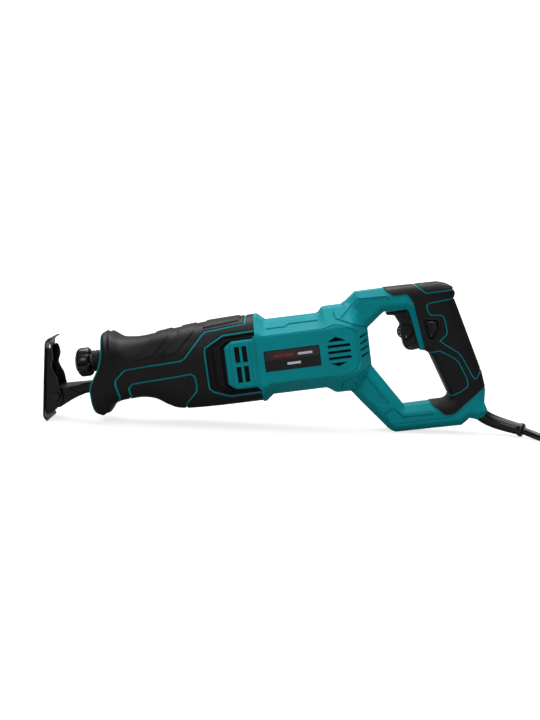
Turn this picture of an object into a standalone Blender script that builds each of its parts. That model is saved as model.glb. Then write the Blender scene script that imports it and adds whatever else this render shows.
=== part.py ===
"""A corded reciprocating saw, built as the assembly it comes apart into on a bench.

Numbers are millimetres in the tool's own frame: X runs from the blade end back along the motor's
axis, Y across the tool and Z up, with the motor's axis as X and the front plane of the motor housing
as X = 0. The frame is then tilted nose-down until the tool stands on its shoe and the heel of its
handle, as it does on a bench. The cord is laid out in the bench's frame.
"""

import math

import bmesh
import bpy
from mathutils import Matrix, Vector

MM = 0.001
GAP = 0.3  # between two pieces that touch
SLIDING = 0.3  # round what slides or turns
ROUND_STEPS = 20
FINE_STEPS = 28

# ---- driving dimensions: motor and housing --------------------------------------------------------
HALF_GAP = GAP / 2  # from the mid-plane to each housing half
MOTOR_BORE_R = 34.8
BARREL = (  # x, half width, side flat's half height, top flat's half width, top, bottom
    (0.0, 39.5, 27.0, 21.0, 45.0, -45.0),
    (4.0, 39.5, 27.0, 21.0, 45.0, -45.0),
    (11.5, 37.6, 22.0, 18.0, 38.0, -38.8),
    (67.3, 37.6, 22.0, 18.0, 38.0, -38.8),
    (73.5, 38.8, 24.0, 19.0, 43.5, -42.0),
    (94.0, 38.8, 24.0, 19.0, 43.8, -45.5),
    (105.0, 33.0, 23.0, 16.0, 43.8, -45.5),
    (113.5, 18.5, 20.0, 12.0, 42.0, -44.0),
)
TONGUE = ((-33.0, 19.5), (-25.5, 24.0), (-4.0, 24.5), (6.0, 25.0),
          (6.0, -26.5), (-4.0, -26.0), (-25.5, -25.5), (-33.0, -20.5))
TONGUE_INNER, TONGUE_OUTER = 34.0, 37.0

# ---- handle ---------------------------------------------------------------------------------------
HANDLE_HALF = 17.0
GRIP_HALF = 18.0
SKIN = 2.8  # thickness of the soft grip over the housing
HEEL = (135.9, -97.8)  # the corner of the handle that stands on the bench
HANDLE_OUTER = ((88.0, 36.0), (94.7, 43.8), (110.4, 56.0), (143.1, 56.0), (198.0, 54.9), (205.4, 52.8),
                (210.8, 49.1), (213.0, 42.2), (211.1, 36.8), (212.2, 33.7), (232.3, -43.9),
                (235.0, -64.0), (232.7, -77.8), (235.7, -87.6), (230.4, -93.2), (223.0, -95.4),
                (215.4, -92.7), (211.2, -96.0), (205.9, -99.3), HEEL, (129.3, -94.0),
                (125.0, -88.5), (103.1, -60.5), (92.2, -45.7), (88.0, -38.0))
HAND_GAP = ((118.3, 17.6), (137.2, 32.1), (162.7, 31.4), (170.9, -13.2), (177.0, -14.5),
            (182.7, -21.1), (197.6, -66.9), (190.2, -71.3), (148.4, -71.3), (118.2, -23.4))
GRIP_PATCH = ((146.0, 60.0), (147.9, 49.1), (162.4, 48.5), (168.9, 38.6), (176.2, -13.2),
              (176.2, -17.0), (172.0, -30.0), (172.0, -60.0), (176.2, -71.0), (188.2, -84.1),
              (198.8, -84.6), (231.9, -60.2), (242.0, -60.2), (242.0, 60.0))
HANDLE_POCKET = ((173.0, 44.0), (200.0, 46.0), (205.5, 37.0), (224.5, -42.0), (226.5, -62.0),
                 (224.5, -77.0), (214.0, -85.0), (205.0, -79.0), (204.0, -66.0), (189.0, -20.0),
                 (182.0, -8.0), (173.0, 34.0))
POCKET_HALF = 12.0
SCREW_SPOTS = ((112.0, 45.0), (109.0, -52.0), (137.0, -84.0), (170.0, -85.0))
SCREW_R, SCREW_HEAD_R, SCREW_HEAD, SCREW_LONG = 1.9, 3.8, 2.6, 24.0
SCREW_FACE = 11.0  # the heads sit this far from the mid-plane, at the bottom of their wells

# ---- nose -----------------------------------------------------------------------------------------
BOOT_WALL = 3.0
SLEEVE_WALL = 1.2
NEST = 0.7  # between nested shells, measured square to the tool's axis
UNDER_SLEEVE = BOOT_WALL + SLEEVE_WALL + 2 * NEST
NOSE = (  # x at the rim's top, x at its bottom, half width, top, bottom
    (-160.5, -183.5, 37.5, 47.8, -40.0),
    (-152.0, -170.0, 36.5, 46.8, -35.5),
    (-143.0, -155.0, 32.5, 41.0, -28.5),
    (-132.0, -139.0, 30.0, 38.8, -26.6),
    (-116.0, -119.0, 30.5, 39.0, -28.0),
    (-101.0, -101.0, 33.5, 41.0, -37.6),
    (-84.0, -84.0, 36.0, 42.6, -43.0),
    (-60.0, -60.0, 36.5, 44.4, -45.0),
    (-36.0, -36.0, 36.5, 45.4, -45.4),
    (-GAP, -GAP, 36.8, 46.2, -45.4),
)
NOSE_WINDOW = (-36.5, 27.5)  # the boot stops behind this x, over this half height, for the tongues

# ---- drive: armature, bevel pair, crank, plunger --------------------------------------------------
TOOTH_MODULE = 1.2
PINION_TEETH = 10
GEAR_TEETH = 42
PINION_R = TOOTH_MODULE * PINION_TEETH / 2
GEAR_R = TOOTH_MODULE * GEAR_TEETH / 2
TOOTH_HIGH, TOOTH_DEEP = 0.85, 1.25  # above and below the pitch line, in modules
TOOTH_WIDE = 0.36  # of the pitch, so that the pair keeps clear backlash
FACE_SHARE = 0.23  # the teeth reach this share of the way to the cones' apex
PINION_BACK, GEAR_BACK = 1.6, 5.0  # how far each wheel's body reaches behind its teeth
CRANK_X = -68.0
PINION_X0 = CRANK_X + GEAR_R  # the pinion's large end
PINION_X1 = CRANK_X + GEAR_R * (1 - FACE_SHARE)
PINION_BORE_R = 2.5
CRANK_THROW = 13.0  # half the stroke
STROKE = 2 * CRANK_THROW
CRANK_PIN_R = 4.0
PLUNGER_Z = 18.0
PLUNGER_R = 8.0
YOKE_LOW, YOKE_HIGH = 10.0, 26.0
YOKE_HALF = 22.0
YOKE_WALL = 4.5
SLIDER_HALF = 5.0
PLUNGER_FRONT = -190.0
BUSH_R, FRONT_BUSH_R = 11.0, 9.6
SHAFT_R = 4.0
BEARING_R, BEARING_WIDTH = 11.0, 7.0
FRONT_BEARING_X, REAR_BEARING_X = -38.0, 85.5
FAN_R = 27.5
PLATE_REAR = -30.0
CASE_SCREWS = ((-15.0, 31.2), (15.0, 31.2), (-15.0, -31.0), (15.0, -31.0))
CASE_REAR = -39.7  # the rear face of the gear chamber, where the bearing plate seats

# ---- blade clamp and shoe -------------------------------------------------------------------------
COLLAR_FRONT, COLLAR_REAR, COLLAR_R = -192.3, -177.4, 15.6
NOZZLE_FRONT, NOZZLE_R = -176.4, 11.3
SHOE_PIVOT = (-217.0, -12.0)
SHOE_PIN_R = 2.5
SHOE_SHEET = 2.0
SHOE_HALF = 23.0
CHEEK_OUTER = 20.0
SHOE_TOP, SHOE_FOOT = (-219.1, 46.3), (-233.3, -29.9)
SHOE_LIP_TIP = (-230.2, -37.4)  # the corner of the shoe that stands on the bench
UPPER_LIP_TIP = (-211.6, 49.8)
ARM_TOP, ARM_BOTTOM, ARM_HALF = -3.0, -13.8, 9.0
ARM_REAR = -112.0

# ---- trigger, lock and switch ---------------------------------------------------------------------
TRIGGER_HALF = 8.0
TRIGGER_TRAVEL = 6.0
DIAL_CENTRE, DIAL_R, DIAL_HALF = (157.8, 7.8), 8.5, 2.7
LOCK_OUTLINE = ((178.4, 16.7), (189.9, 15.7), (190.6, 8.3), (184.0, -0.1), (179.8, 0.9))

# ---- cord, in the bench's frame -------------------------------------------------------------------
CORD_R = 4.0
CORD_LIE = CORD_R + 0.1  # height of its centre where it lies on the bench
GUARD_ROOT, GUARD_DIR = (223.0, -86.0), (0.72, -0.69)
GUARD_R, GUARD_RING_R = 6.3, 7.0
GUARD_STRAIGHT = 11.0  # inside the handle, and just out of it
GUARD_END, GUARD_END_DIR = (274.2, -15.0, 7.4), (0.80, -0.56, -0.17)
COIL_CENTRE = (356.0, -22.0)
COIL_INNER, COIL_OUTER, COIL_HIGH = 32.0, 56.0, 22.0
CORD_ROUTE = ((275.0, -15.6, 7.25), (281.2, -21.0, 5.4), (287.0, -28.6, 4.3),
              (292.6, -38.0, CORD_LIE), (298.0, -47.4, CORD_LIE),
              (302.6, -54.6, CORD_LIE), (308.6, -61.6, CORD_LIE), (315.2, -66.6, CORD_LIE))
TAIL_ROUTE = ((381.0, -77.0, 9.8), (390.5, -75.6, 9.4), (400.0, -73.2, 7.8), (408.6, -70.0, 6.2),
              (416.6, -65.4, 5.6), (423.6, -58.6, 6.4), (428.6, -50.4, 8.2), (430.0, -41.9, 9.1))
PLUG_END = (430.0, -41.0, 9.2)  # where the tail enters the plug's sleeve
PLUG_LONG, PLUG_WIDE, PLUG_THICK = 42.0, 35.0, 17.6
PIN_R, PIN_LONG, PIN_APART = 2.4, 19.0, 19.0

FINISHES = {  # colour, roughness, metallic
    "teal_plastic": ((0.0, 0.20, 0.22), 0.42, 0.0),
    "black_rubber": ((0.025, 0.026, 0.027), 0.72, 0.0),
    "black_plastic": ((0.03, 0.03, 0.032), 0.5, 0.0),
    "black_steel": ((0.04, 0.04, 0.043), 0.38, 0.7),
    "bright_steel": ((0.55, 0.55, 0.56), 0.3, 1.0),
    "cast_alloy": ((0.60, 0.61, 0.62), 0.45, 1.0),
    "core_steel": ((0.30, 0.31, 0.33), 0.5, 0.9),
    "copper": ((0.72, 0.32, 0.14), 0.35, 1.0),
    "carbon": ((0.05, 0.05, 0.05), 0.7, 0.1),
    "brass": ((0.70, 0.52, 0.22), 0.35, 1.0),
    "bronze": ((0.50, 0.33, 0.16), 0.45, 1.0),
    "white_plastic": ((0.75, 0.74, 0.70), 0.5, 0.0),
    "cord_rubber": ((0.02, 0.02, 0.02), 0.55, 0.0),
}

for old in list(bpy.data.objects):
    bpy.data.objects.remove(old, do_unlink=True)

parts = bpy.data.collections.new("reciprocating_saw")
cutters = bpy.data.collections.new("cutters")
for group in (parts, cutters):
    bpy.context.scene.collection.children.link(group)

saw_frame = bpy.data.objects.new("saw_frame", None)
parts.objects.link(saw_frame)
POSITION = {saw_frame: Vector((0, 0, 0))}  # each empty's place in the tool's frame


def finish(name):
    """The material of this name, made once."""
    found = bpy.data.materials.get(name)
    if found:
        return found
    colour, roughness, metallic = FINISHES[name]
    made = bpy.data.materials.new(name)
    made.use_nodes = True
    shader = made.node_tree.nodes["Principled BSDF"]
    shader.inputs["Base Color"].default_value = (*colour, 1)
    shader.inputs["Roughness"].default_value = roughness
    shader.inputs["Metallic"].default_value = metallic
    made.diffuse_color = (*colour, 1)
    return made


def pivot(name, at, parent=saw_frame):
    """An empty on a joint's axis, for the pieces that move about it."""
    empty = bpy.data.objects.new(name, None)
    parts.objects.link(empty)
    POSITION[empty] = Vector(at)
    empty.parent = parent
    empty.location = (Vector(at) - POSITION[parent]) * MM
    return empty


def put(name, mesh, material, at=(0, 0, 0), parent=saw_frame, turn=None):
    """Makes an object of the mesh. A material of None makes it a cutter."""
    item = bpy.data.objects.new(name, mesh)
    if material is None:
        cutters.objects.link(item)
        item.hide_render = True
        item.display_type = "WIRE"
    else:
        parts.objects.link(item)
        mesh.materials.clear()
        mesh.materials.append(finish(material))
    if parent:
        item.parent = parent
        item.location = (Vector(at) - POSITION[parent]) * MM
    else:
        item.location = Vector(at) * MM
    if turn:
        item.rotation_mode = "QUATERNION"
        item.rotation_quaternion = turn
    return item


def mesh_from(bm, name, smooth=False, closed=True):
    mesh = bpy.data.meshes.new(name)
    if closed:
        bmesh.ops.recalc_face_normals(bm, faces=bm.faces)
    bm.to_mesh(mesh)
    bm.free()
    if smooth:
        mesh.shade_smooth()
        mesh.set_sharp_from_angle(angle=math.radians(35))
    return mesh


def bevel(item, width, segments=2, angle=50):
    """Rounds the edges that turn by more than the angle."""
    rounding = item.modifiers.new("bevel", "BEVEL")
    rounding.width = width * MM
    rounding.segments = segments
    rounding.limit_method = "ANGLE"
    rounding.angle_limit = math.radians(angle)
    return item


def cut(item, other, operation="DIFFERENCE"):
    """Cuts, joins or keeps only what is common, and files the other shape with the cutters."""
    if other.name in parts.objects:
        parts.objects.unlink(other)
        cutters.objects.link(other)
        other.hide_render = True
        other.display_type = "WIRE"
    boolean = item.modifiers.new(other.name, "BOOLEAN")
    boolean.operation = operation
    boolean.object = other
    return item


def join(item, other):
    return cut(item, other, "UNION")


def box(name, material, low, high, parent=saw_frame, edge=0.0):
    low, high = Vector(low), Vector(high)
    bm = bmesh.new()
    bmesh.ops.create_cube(bm, size=1, matrix=Matrix.Diagonal((*((high - low) * MM), 1)))
    item = put(name, mesh_from(bm, name), material, (low + high) / 2, parent)
    return bevel(item, edge) if edge else item


def boxes(name, spans):
    """One cutter of several separate boxes."""
    bm = bmesh.new()
    for low, high in spans:
        low, high = Vector(low) * MM, Vector(high) * MM
        place = Matrix.Translation((low + high) / 2) @ Matrix.Diagonal((*(high - low), 1))
        bmesh.ops.create_cube(bm, size=1, matrix=place)
    return put(name, mesh_from(bm, name), None)


def turned(name, material, profile, at, axis, parent=saw_frame, closed=False, steps=ROUND_STEPS):
    """A turned piece: its profile is (radius, height) down the outer side, about the axis at a point."""
    mesh = bpy.data.meshes.new(name)
    ends = [(i, i + 1) for i in range(len(profile) - 1)]
    if closed:
        ends.append((len(profile) - 1, 0))
    mesh.from_pydata([(r * MM, 0, h * MM) for r, h in profile], ends, [])
    turn = Vector((0, 0, 1)).rotation_difference(Vector(axis))
    item = put(name, mesh, material, at, parent, turn)
    screw = item.modifiers.new("turn", "SCREW")
    screw.steps = screw.render_steps = steps
    screw.use_merge_vertices = True
    screw.merge_threshold = 0.00001
    screw.use_smooth_shade = True
    return item


def rod(name, material, radius, start, end, parent=saw_frame, steps=ROUND_STEPS, edge=0.0):
    """A solid round bar from one point to another, with chamfered ends if an edge is given."""
    start, end = Vector(start), Vector(end)
    long = (end - start).length
    if edge:
        profile = ((0, long), (radius - edge, long), (radius, long - edge),
                   (radius, edge), (radius - edge, 0), (0, 0))
    else:
        profile = ((0, long), (radius, long), (radius, 0), (0, 0))
    return turned(name, material, profile, start, end - start, parent, steps=steps)


def ring(name, material, outer, inner, start, end, parent=saw_frame, steps=ROUND_STEPS, edge=0.0):
    """A round ring or bush between two points on its axis."""
    start, end = Vector(start), Vector(end)
    long = (end - start).length
    if edge:
        profile = ((inner + edge, long), (outer - edge, long), (outer, long - edge), (outer, edge),
                   (outer - edge, 0), (inner + edge, 0), (inner, edge), (inner, long - edge))
    else:
        profile = ((inner, long), (outer, long), (outer, 0), (inner, 0))
    return turned(name, material, profile, start, end - start, parent, closed=True, steps=steps)


def slab(name, material, outlines, low, high, parent=saw_frame, edge=0.0, angle=50):
    """A flat piece of these outlines, given as (x, z), between two heights across the tool."""
    curve = bpy.data.curves.new(name, "CURVE")
    curve.dimensions = "2D"
    curve.fill_mode = "BOTH"
    curve.extrude = (high - low) / 2 * MM
    for outline in outlines:
        spline = curve.splines.new("POLY")
        spline.points.add(len(outline) - 1)
        for point, (x, z) in zip(spline.points, outline):
            point.co = (x * MM, z * MM, 0, 1)
        spline.use_cyclic_u = True
    drawn = bpy.data.objects.new(name, curve)
    parts.objects.link(drawn)
    bpy.context.view_layer.update()
    graph = bpy.context.evaluated_depsgraph_get()
    mesh = bpy.data.meshes.new_from_object(drawn.evaluated_get(graph))
    bpy.data.objects.remove(drawn, do_unlink=True)
    bpy.data.curves.remove(curve)
    bm = bmesh.new()
    bm.from_mesh(mesh)
    bmesh.ops.remove_doubles(bm, verts=bm.verts, dist=0.000001)
    bmesh.ops.dissolve_limit(bm, angle_limit=0.001, verts=bm.verts, edges=bm.edges)
    shift = POSITION[parent] * MM
    upright = Matrix.Translation((-shift.x, 0, -shift.z)) @ Matrix.Rotation(math.pi / 2, 4, "X")
    bmesh.ops.transform(bm, matrix=upright, verts=bm.verts)
    item = put(name, mesh_from(bm, name), material, parent=parent)
    item.location = (0, ((low + high) / 2 - POSITION[parent].y) * MM, 0)
    return bevel(item, edge, angle=angle) if edge else item


def loft(name, material, rings, parent=saw_frame, capped=True):
    """Rings of points, alike in number, joined by strips of faces."""
    bm = bmesh.new()
    rows = [[bm.verts.new(Vector(p) * MM) for p in points] for points in rings]
    for a, b in zip(rows, rows[1:]):
        for i in range(len(a)):
            j = (i + 1) % len(a)
            bm.faces.new((a[i], a[j], b[j], b[i]))
    if capped:
        bm.faces.new(rows[0][::-1])
        bm.faces.new(rows[-1])
    return put(name, mesh_from(bm, name, smooth=True, closed=capped), material, parent=parent)


def inset(outline, distance):
    """The outline moved inwards by a distance, with its corners mitred."""
    area = sum(a[0] * b[1] - b[0] * a[1] for a, b in zip(outline, outline[1:] + outline[:1]))
    side = 1 if area > 0 else -1
    moved = []
    for before, here, after in zip(outline[-1:] + outline[:-1], outline, outline[1:] + outline[:1]):
        first = (Vector(here) - Vector(before)).normalized()
        second = (Vector(after) - Vector(here)).normalized()
        inward_1 = Vector((-first.y, first.x)) * side
        inward_2 = Vector((-second.y, second.x)) * side
        bisector = (inward_1 + inward_2).normalized()
        point = Vector(here) + bisector * distance / max(bisector.dot(inward_1), 0.4)
        moved.append((point.x, point.y))
    return tuple(moved)


def smooth_route(points, spacing):
    """Points every so often along a smooth curve through the route's own points."""
    points = [Vector(p) for p in points]
    ends = [2 * points[0] - points[1], *points, 2 * points[-1] - points[-2]]
    route = []
    for a, b, c, d in zip(ends, ends[1:], ends[2:], ends[3:]):
        count = max(1, round((c - b).length / spacing))
        for i in range(count):
            t = i / count
            route.append(0.5 * ((2 * b) + (c - a) * t + (2 * a - 5 * b + 4 * c - d) * t * t
                                + (3 * b - a - 3 * c + d) * t ** 3))
    return [*route, points[-1]]


def tube(name, material, points, radii, resolution=3):
    """A round tube through points in the bench's frame, with a radius at each."""
    curve = bpy.data.curves.new(name, "CURVE")
    curve.dimensions = "3D"
    curve.bevel_depth = MM
    curve.bevel_resolution = resolution
    curve.use_fill_caps = True
    spline = curve.splines.new("POLY")
    spline.points.add(len(points) - 1)
    for knot, place, radius in zip(spline.points, points, radii):
        knot.co = (*(Vector(place) * MM), 1)
        knot.radius = radius
    item = bpy.data.objects.new(name, curve)
    parts.objects.link(item)
    curve.materials.append(finish(material))
    return item


# ---- housing halves and grips ---------------------------------------------------------------------
def half_space(name, side):
    far = 120.0
    low = (-250.0, HALF_GAP if side > 0 else -far, -150.0)
    high = (320.0, far if side > 0 else -HALF_GAP, 150.0)
    return box(name, None, low, high)


def barrel_section(x, half, flat, top_flat, top, bottom):
    corners = ((half, flat), (top_flat, top), (-top_flat, top), (-half, flat),
               (-half, -flat), (-top_flat, bottom), (top_flat, bottom), (half, -flat))
    return [(x, y, z) for y, z in corners]


def screw_wells():
    wells = []
    for number, (x, z) in enumerate(SCREW_SPOTS, 1):
        seat = SCREW_FACE - GAP
        tip = SCREW_FACE - SCREW_LONG - GAP
        profile = ((0, HANDLE_HALF + 8), (SCREW_HEAD_R + 0.4, HANDLE_HALF + 8),
                   (SCREW_HEAD_R + 0.4, seat), (SCREW_R + GAP, seat), (SCREW_R + GAP, tip), (0, tip))
        wells.append(turned(f"screw_well_{number}", None, profile, (x, 0, z), (0, 1, 0), steps=16))
    return wells


def vent_slots():
    """Fan outlets in the tongues and air inlets at the rear, on both sides."""
    spans = []
    for side in (-1, 1):
        for x0, x1 in ((-22.9, -17.7), (-15.2, -10.0)):
            for z0, z1 in ((0.4, 18.1), (-20.5, -3.2)):
                spans.append((x0, x1, z0, z1, 30.0, 42.0, side))
        for z in (11.0, 5.9, -0.3, -6.6, -13.0):
            spans.append((74.0, 96.0, z - 1.3, z + 1.3, 22.0, 45.0, side))
        for z in (11.4, 4.2, -2.7, -9.5):
            spans.append((104.5, 125.0, z - 1.4, z + 1.4, 19.5, 40.0, side))
    return boxes("vent_slots", [((x0, min(side * y0, side * y1), z0), (x1, max(side * y0, side * y1), z1))
                                for x0, x1, z0, z1, y0, y1, side in spans])


def housing_cutters():
    bore = ((0, 97.0), (8.5, 97.0), (8.5, REAR_BEARING_X + BEARING_WIDTH + GAP),
            (BEARING_R + GAP, REAR_BEARING_X + BEARING_WIDTH + GAP), (BEARING_R + GAP, 80.0),
            (MOTOR_BORE_R, 80.0), (MOTOR_BORE_R, -2.0), (0, -2.0))
    pocket = ((158.0, 31.2), (183.5, 31.2), (185.5, -9.9), (176.8, -9.9), (176.8, -16.0), (160.0, -16.0))
    root = Vector((GUARD_ROOT[0], 0, GUARD_ROOT[1]))
    out = Vector((GUARD_DIR[0], 0, GUARD_DIR[1]))
    return [
        turned("motor_bore", None, bore, (0, 0, 0), (1, 0, 0), steps=FINE_STEPS),
        slab("handle_pocket", None, (HANDLE_POCKET,), -POCKET_HALF, POCKET_HALF),
        vent_slots(),
        slab("trigger_pocket", None, (pocket,), -TRIGGER_HALF - 0.7, TRIGGER_HALF + 0.7),
        rod("guard_socket", None, GUARD_R + GAP, root - out * 6, root + out * 30, steps=16),
        *screw_wells(),
    ]


def lock_hole():
    return slab("lock_hole", None, (inset(LOCK_OUTLINE, -0.4),), -24.0, -8.0)


def build_housings():
    shared = housing_cutters()
    core = (inset(HANDLE_OUTER, SKIN + GAP), inset(HAND_GAP, -SKIN - GAP))
    lock = lock_hole()
    for name, side in (("housing_left", -1), ("housing_right", 1)):
        item = slab(name, "teal_plastic", (HANDLE_OUTER, HAND_GAP), -HANDLE_HALF, HANDLE_HALF, edge=3.0)
        cut(item, slab(f"{name}_grip_bed", None, (inset(GRIP_PATCH, -GAP),), -30.0, 30.0))
        join(item, slab(f"{name}_core", "teal_plastic", core, -HANDLE_HALF + SKIN, HANDLE_HALF - SKIN))
        join(item, loft(f"{name}_barrel", "teal_plastic", [barrel_section(*row) for row in BARREL]))
        join(item, slab(f"{name}_tongue", "teal_plastic", (TONGUE,),
                        min(side * TONGUE_INNER, side * TONGUE_OUTER),
                        max(side * TONGUE_INNER, side * TONGUE_OUTER)))
        for cutter in shared:
            cut(item, cutter)
        if side < 0:
            cut(item, lock)
        cut(item, half_space(f"{name}_side", side), "INTERSECT")
    for name, side in (("grip_left", -1), ("grip_right", 1)):
        item = slab(name, "black_rubber", (inset(HANDLE_OUTER, -0.6), inset(HAND_GAP, 0.6)),
                    -GRIP_HALF, GRIP_HALF, edge=4.0)
        cut(item, slab(f"{name}_patch", None, (GRIP_PATCH,), -30.0, 30.0), "INTERSECT")
        inner = (inset(HANDLE_OUTER, SKIN), inset(HAND_GAP, -SKIN))
        cut(item, slab(f"{name}_core", None, inner, -HANDLE_HALF + SKIN - GAP, HANDLE_HALF - SKIN + GAP))
        if side < 0:
            cut(item, lock)
        cut(item, half_space(f"{name}_side", side), "INTERSECT")


def build_housing_screws():
    for number, (x, z) in enumerate(SCREW_SPOTS, 1):
        head = SCREW_FACE + SCREW_HEAD
        profile = ((0, head), (SCREW_HEAD_R, head - 0.6), (SCREW_HEAD_R, SCREW_FACE), (SCREW_R, SCREW_FACE),
                   (SCREW_R, SCREW_FACE - SCREW_LONG + 2), (0, SCREW_FACE - SCREW_LONG))
        turned(f"housing_screw_{number}", "bright_steel", profile, (x, 0, z), (0, 1, 0), steps=12)


# ---- nose: gear case, sleeve, boot, nozzle --------------------------------------------------------
def nose_ring(row, shrink, points=28):
    """A rounded-square section of the nose, its plane leaning with the boot's rim."""
    x_top, x_bottom, half, top, bottom = row
    centre, high = (top + bottom) / 2, (top - bottom) / 2 - shrink
    ring_points = []
    for i in range(points):
        angle = 2 * math.pi * (i + 0.5) / points
        c, s = math.cos(angle), math.sin(angle)
        y = math.copysign(abs(c) ** 0.62, c) * (half - shrink)
        z = centre + math.copysign(abs(s) ** 0.62, s) * high
        lean = (z - bottom) / (top - bottom)
        ring_points.append((x_bottom + (x_top - x_bottom) * lean, y, z))
    return ring_points


def nose_shell(name, material, rows, shrink, wall):
    shell = loft(name, material, [nose_ring(row, shrink) for row in rows], capped=False)
    thick = shell.modifiers.new("wall", "SOLIDIFY")
    thick.thickness = wall * MM
    thick.offset = -1
    return shell


def window(name, clear=0.0):
    x, high = NOSE_WINDOW
    return boxes(name, [((x - clear, y - 12, -high - clear), (5.0, y + 12, high + clear)) for y in (-38, 38)])


def build_nose():
    boot = nose_shell("nose_boot", "black_rubber", NOSE, 0, BOOT_WALL)
    cut(boot, window("boot_window"))
    sleeve_rows = (*NOSE[2:-1], (-GAP * 2, -GAP * 2, *NOSE[-1][2:]))
    sleeve = nose_shell("nose_sleeve", "teal_plastic", sleeve_rows, BOOT_WALL + NEST, SLEEVE_WALL)
    cut(sleeve, window("sleeve_window"))

    under = UNDER_SLEEVE
    bell_rows = (NOSE[5], NOSE[6], NOSE[7], NOSE[8], (-GAP * 2, -GAP * 2, *NOSE[-1][2:]))
    case = loft("gear_case", "cast_alloy", [nose_ring(row, under) for row in bell_rows])
    join(case, box("case_nose", "cast_alloy", (-157.0, -15.5, -17.5), (-95.0, 15.5, 31.2), edge=3.0))
    front = (NOSE[2], (NOSE[2][0] + 6, NOSE[2][1] + 6, *NOSE[2][2:]))
    join(case, loft("case_front", "cast_alloy", [nose_ring(row, under + 2.5) for row in front]))
    cut(case, box("gear_chamber", None, (-97.5, -28.0, -22.0), (-38.0, 28.0, 28.5), edge=4.0))
    inner_skirt = [[(x, y * 0.9, z * 0.92) for x, y, z in nose_ring(NOSE[8], under)],
                   [(x, y * 0.9, z * 0.92) for x, y, z in nose_ring(NOSE[9], under)]]
    skirt = loft("case_skirt", None, [[(CASE_REAR, y, z) for x, y, z in inner_skirt[0]],
                                      [(5.0, y, z) for x, y, z in inner_skirt[1]]])
    cut(case, skirt)
    cut(case, boxes("fan_outlets", [((-28.0, y - 8, -21.5), (-6.0, y + 8, 21.5)) for y in (-32, 32)]))
    bore = rod("plunger_way", None, BUSH_R + GAP, (-170, 0, PLUNGER_Z), (-90, 0, PLUNGER_Z))
    cut(case, bore)
    cut(case, rod("nozzle_seat", None, NOZZLE_R + GAP, (-190, 0, PLUNGER_Z), (-146, 0, PLUNGER_Z)))
    cut(case, box("arm_way", None, (-190, -ARM_HALF - SLIDING, ARM_BOTTOM - SLIDING),
                  (ARM_REAR + 1, ARM_HALF + SLIDING, ARM_TOP + SLIDING)))
    cut(case, rod("crank_bearing_seat", None, BEARING_R + GAP, (CRANK_X, 0, -35.5), (CRANK_X, 0, -15)))

    ring("front_nozzle", "black_plastic", NOZZLE_R, FRONT_BUSH_R + GAP, (-146.5, 0, PLUNGER_Z),
         (NOZZLE_FRONT, 0, PLUNGER_Z), steps=FINE_STEPS)




def build_plate():
    """The plate that closes the gear chamber and holds the front bearing."""
    under = UNDER_SLEEVE
    outline = [[(x, y * 0.9 - math.copysign(0.4, y), z * 0.92 - math.copysign(0.4, z))
                for _, y, z in nose_ring(NOSE[8], under)] for x in (CASE_REAR + GAP, PLATE_REAR)]
    plate = loft("bearing_plate", "cast_alloy", outline)
    seat = ((0, 2.0), (BEARING_R + GAP, 2.0), (BEARING_R + GAP, FRONT_BEARING_X - PLATE_REAR - GAP),
            (7.0, FRONT_BEARING_X - PLATE_REAR - GAP), (7.0, -20.0), (0, -20.0))
    cut(plate, turned("bearing_seat", None, seat, (PLATE_REAR, 0, 0), (1, 0, 0)))
    for number, (y, z) in enumerate(CASE_SCREWS, 1):
        hole = rod(f"plate_hole_{number}", None, 2.3, (-45, y, z), (-20, y, z), steps=12)
        cut(plate, hole)
        cut(bpy.data.objects["gear_case"], rod(f"case_hole_{number}", None, 2.3, (-52, y, z), (-20, y, z),
                                               steps=12))
        profile = ((0, 3.0), (3.2, 2.4), (3.2, 0), (2.0, 0), (2.0, -19.0), (0, -19.6))
        turned(f"case_screw_{number}", "bright_steel", profile, (PLATE_REAR + GAP, y, z), (1, 0, 0), steps=12)




# ---- motor ----------------------------------------------------------------------------------------
def bearing(name, low, high, parent=saw_frame):
    ring(name, "bright_steel", BEARING_R, SHAFT_R + GAP, low, high, parent, steps=ROUND_STEPS)


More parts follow.
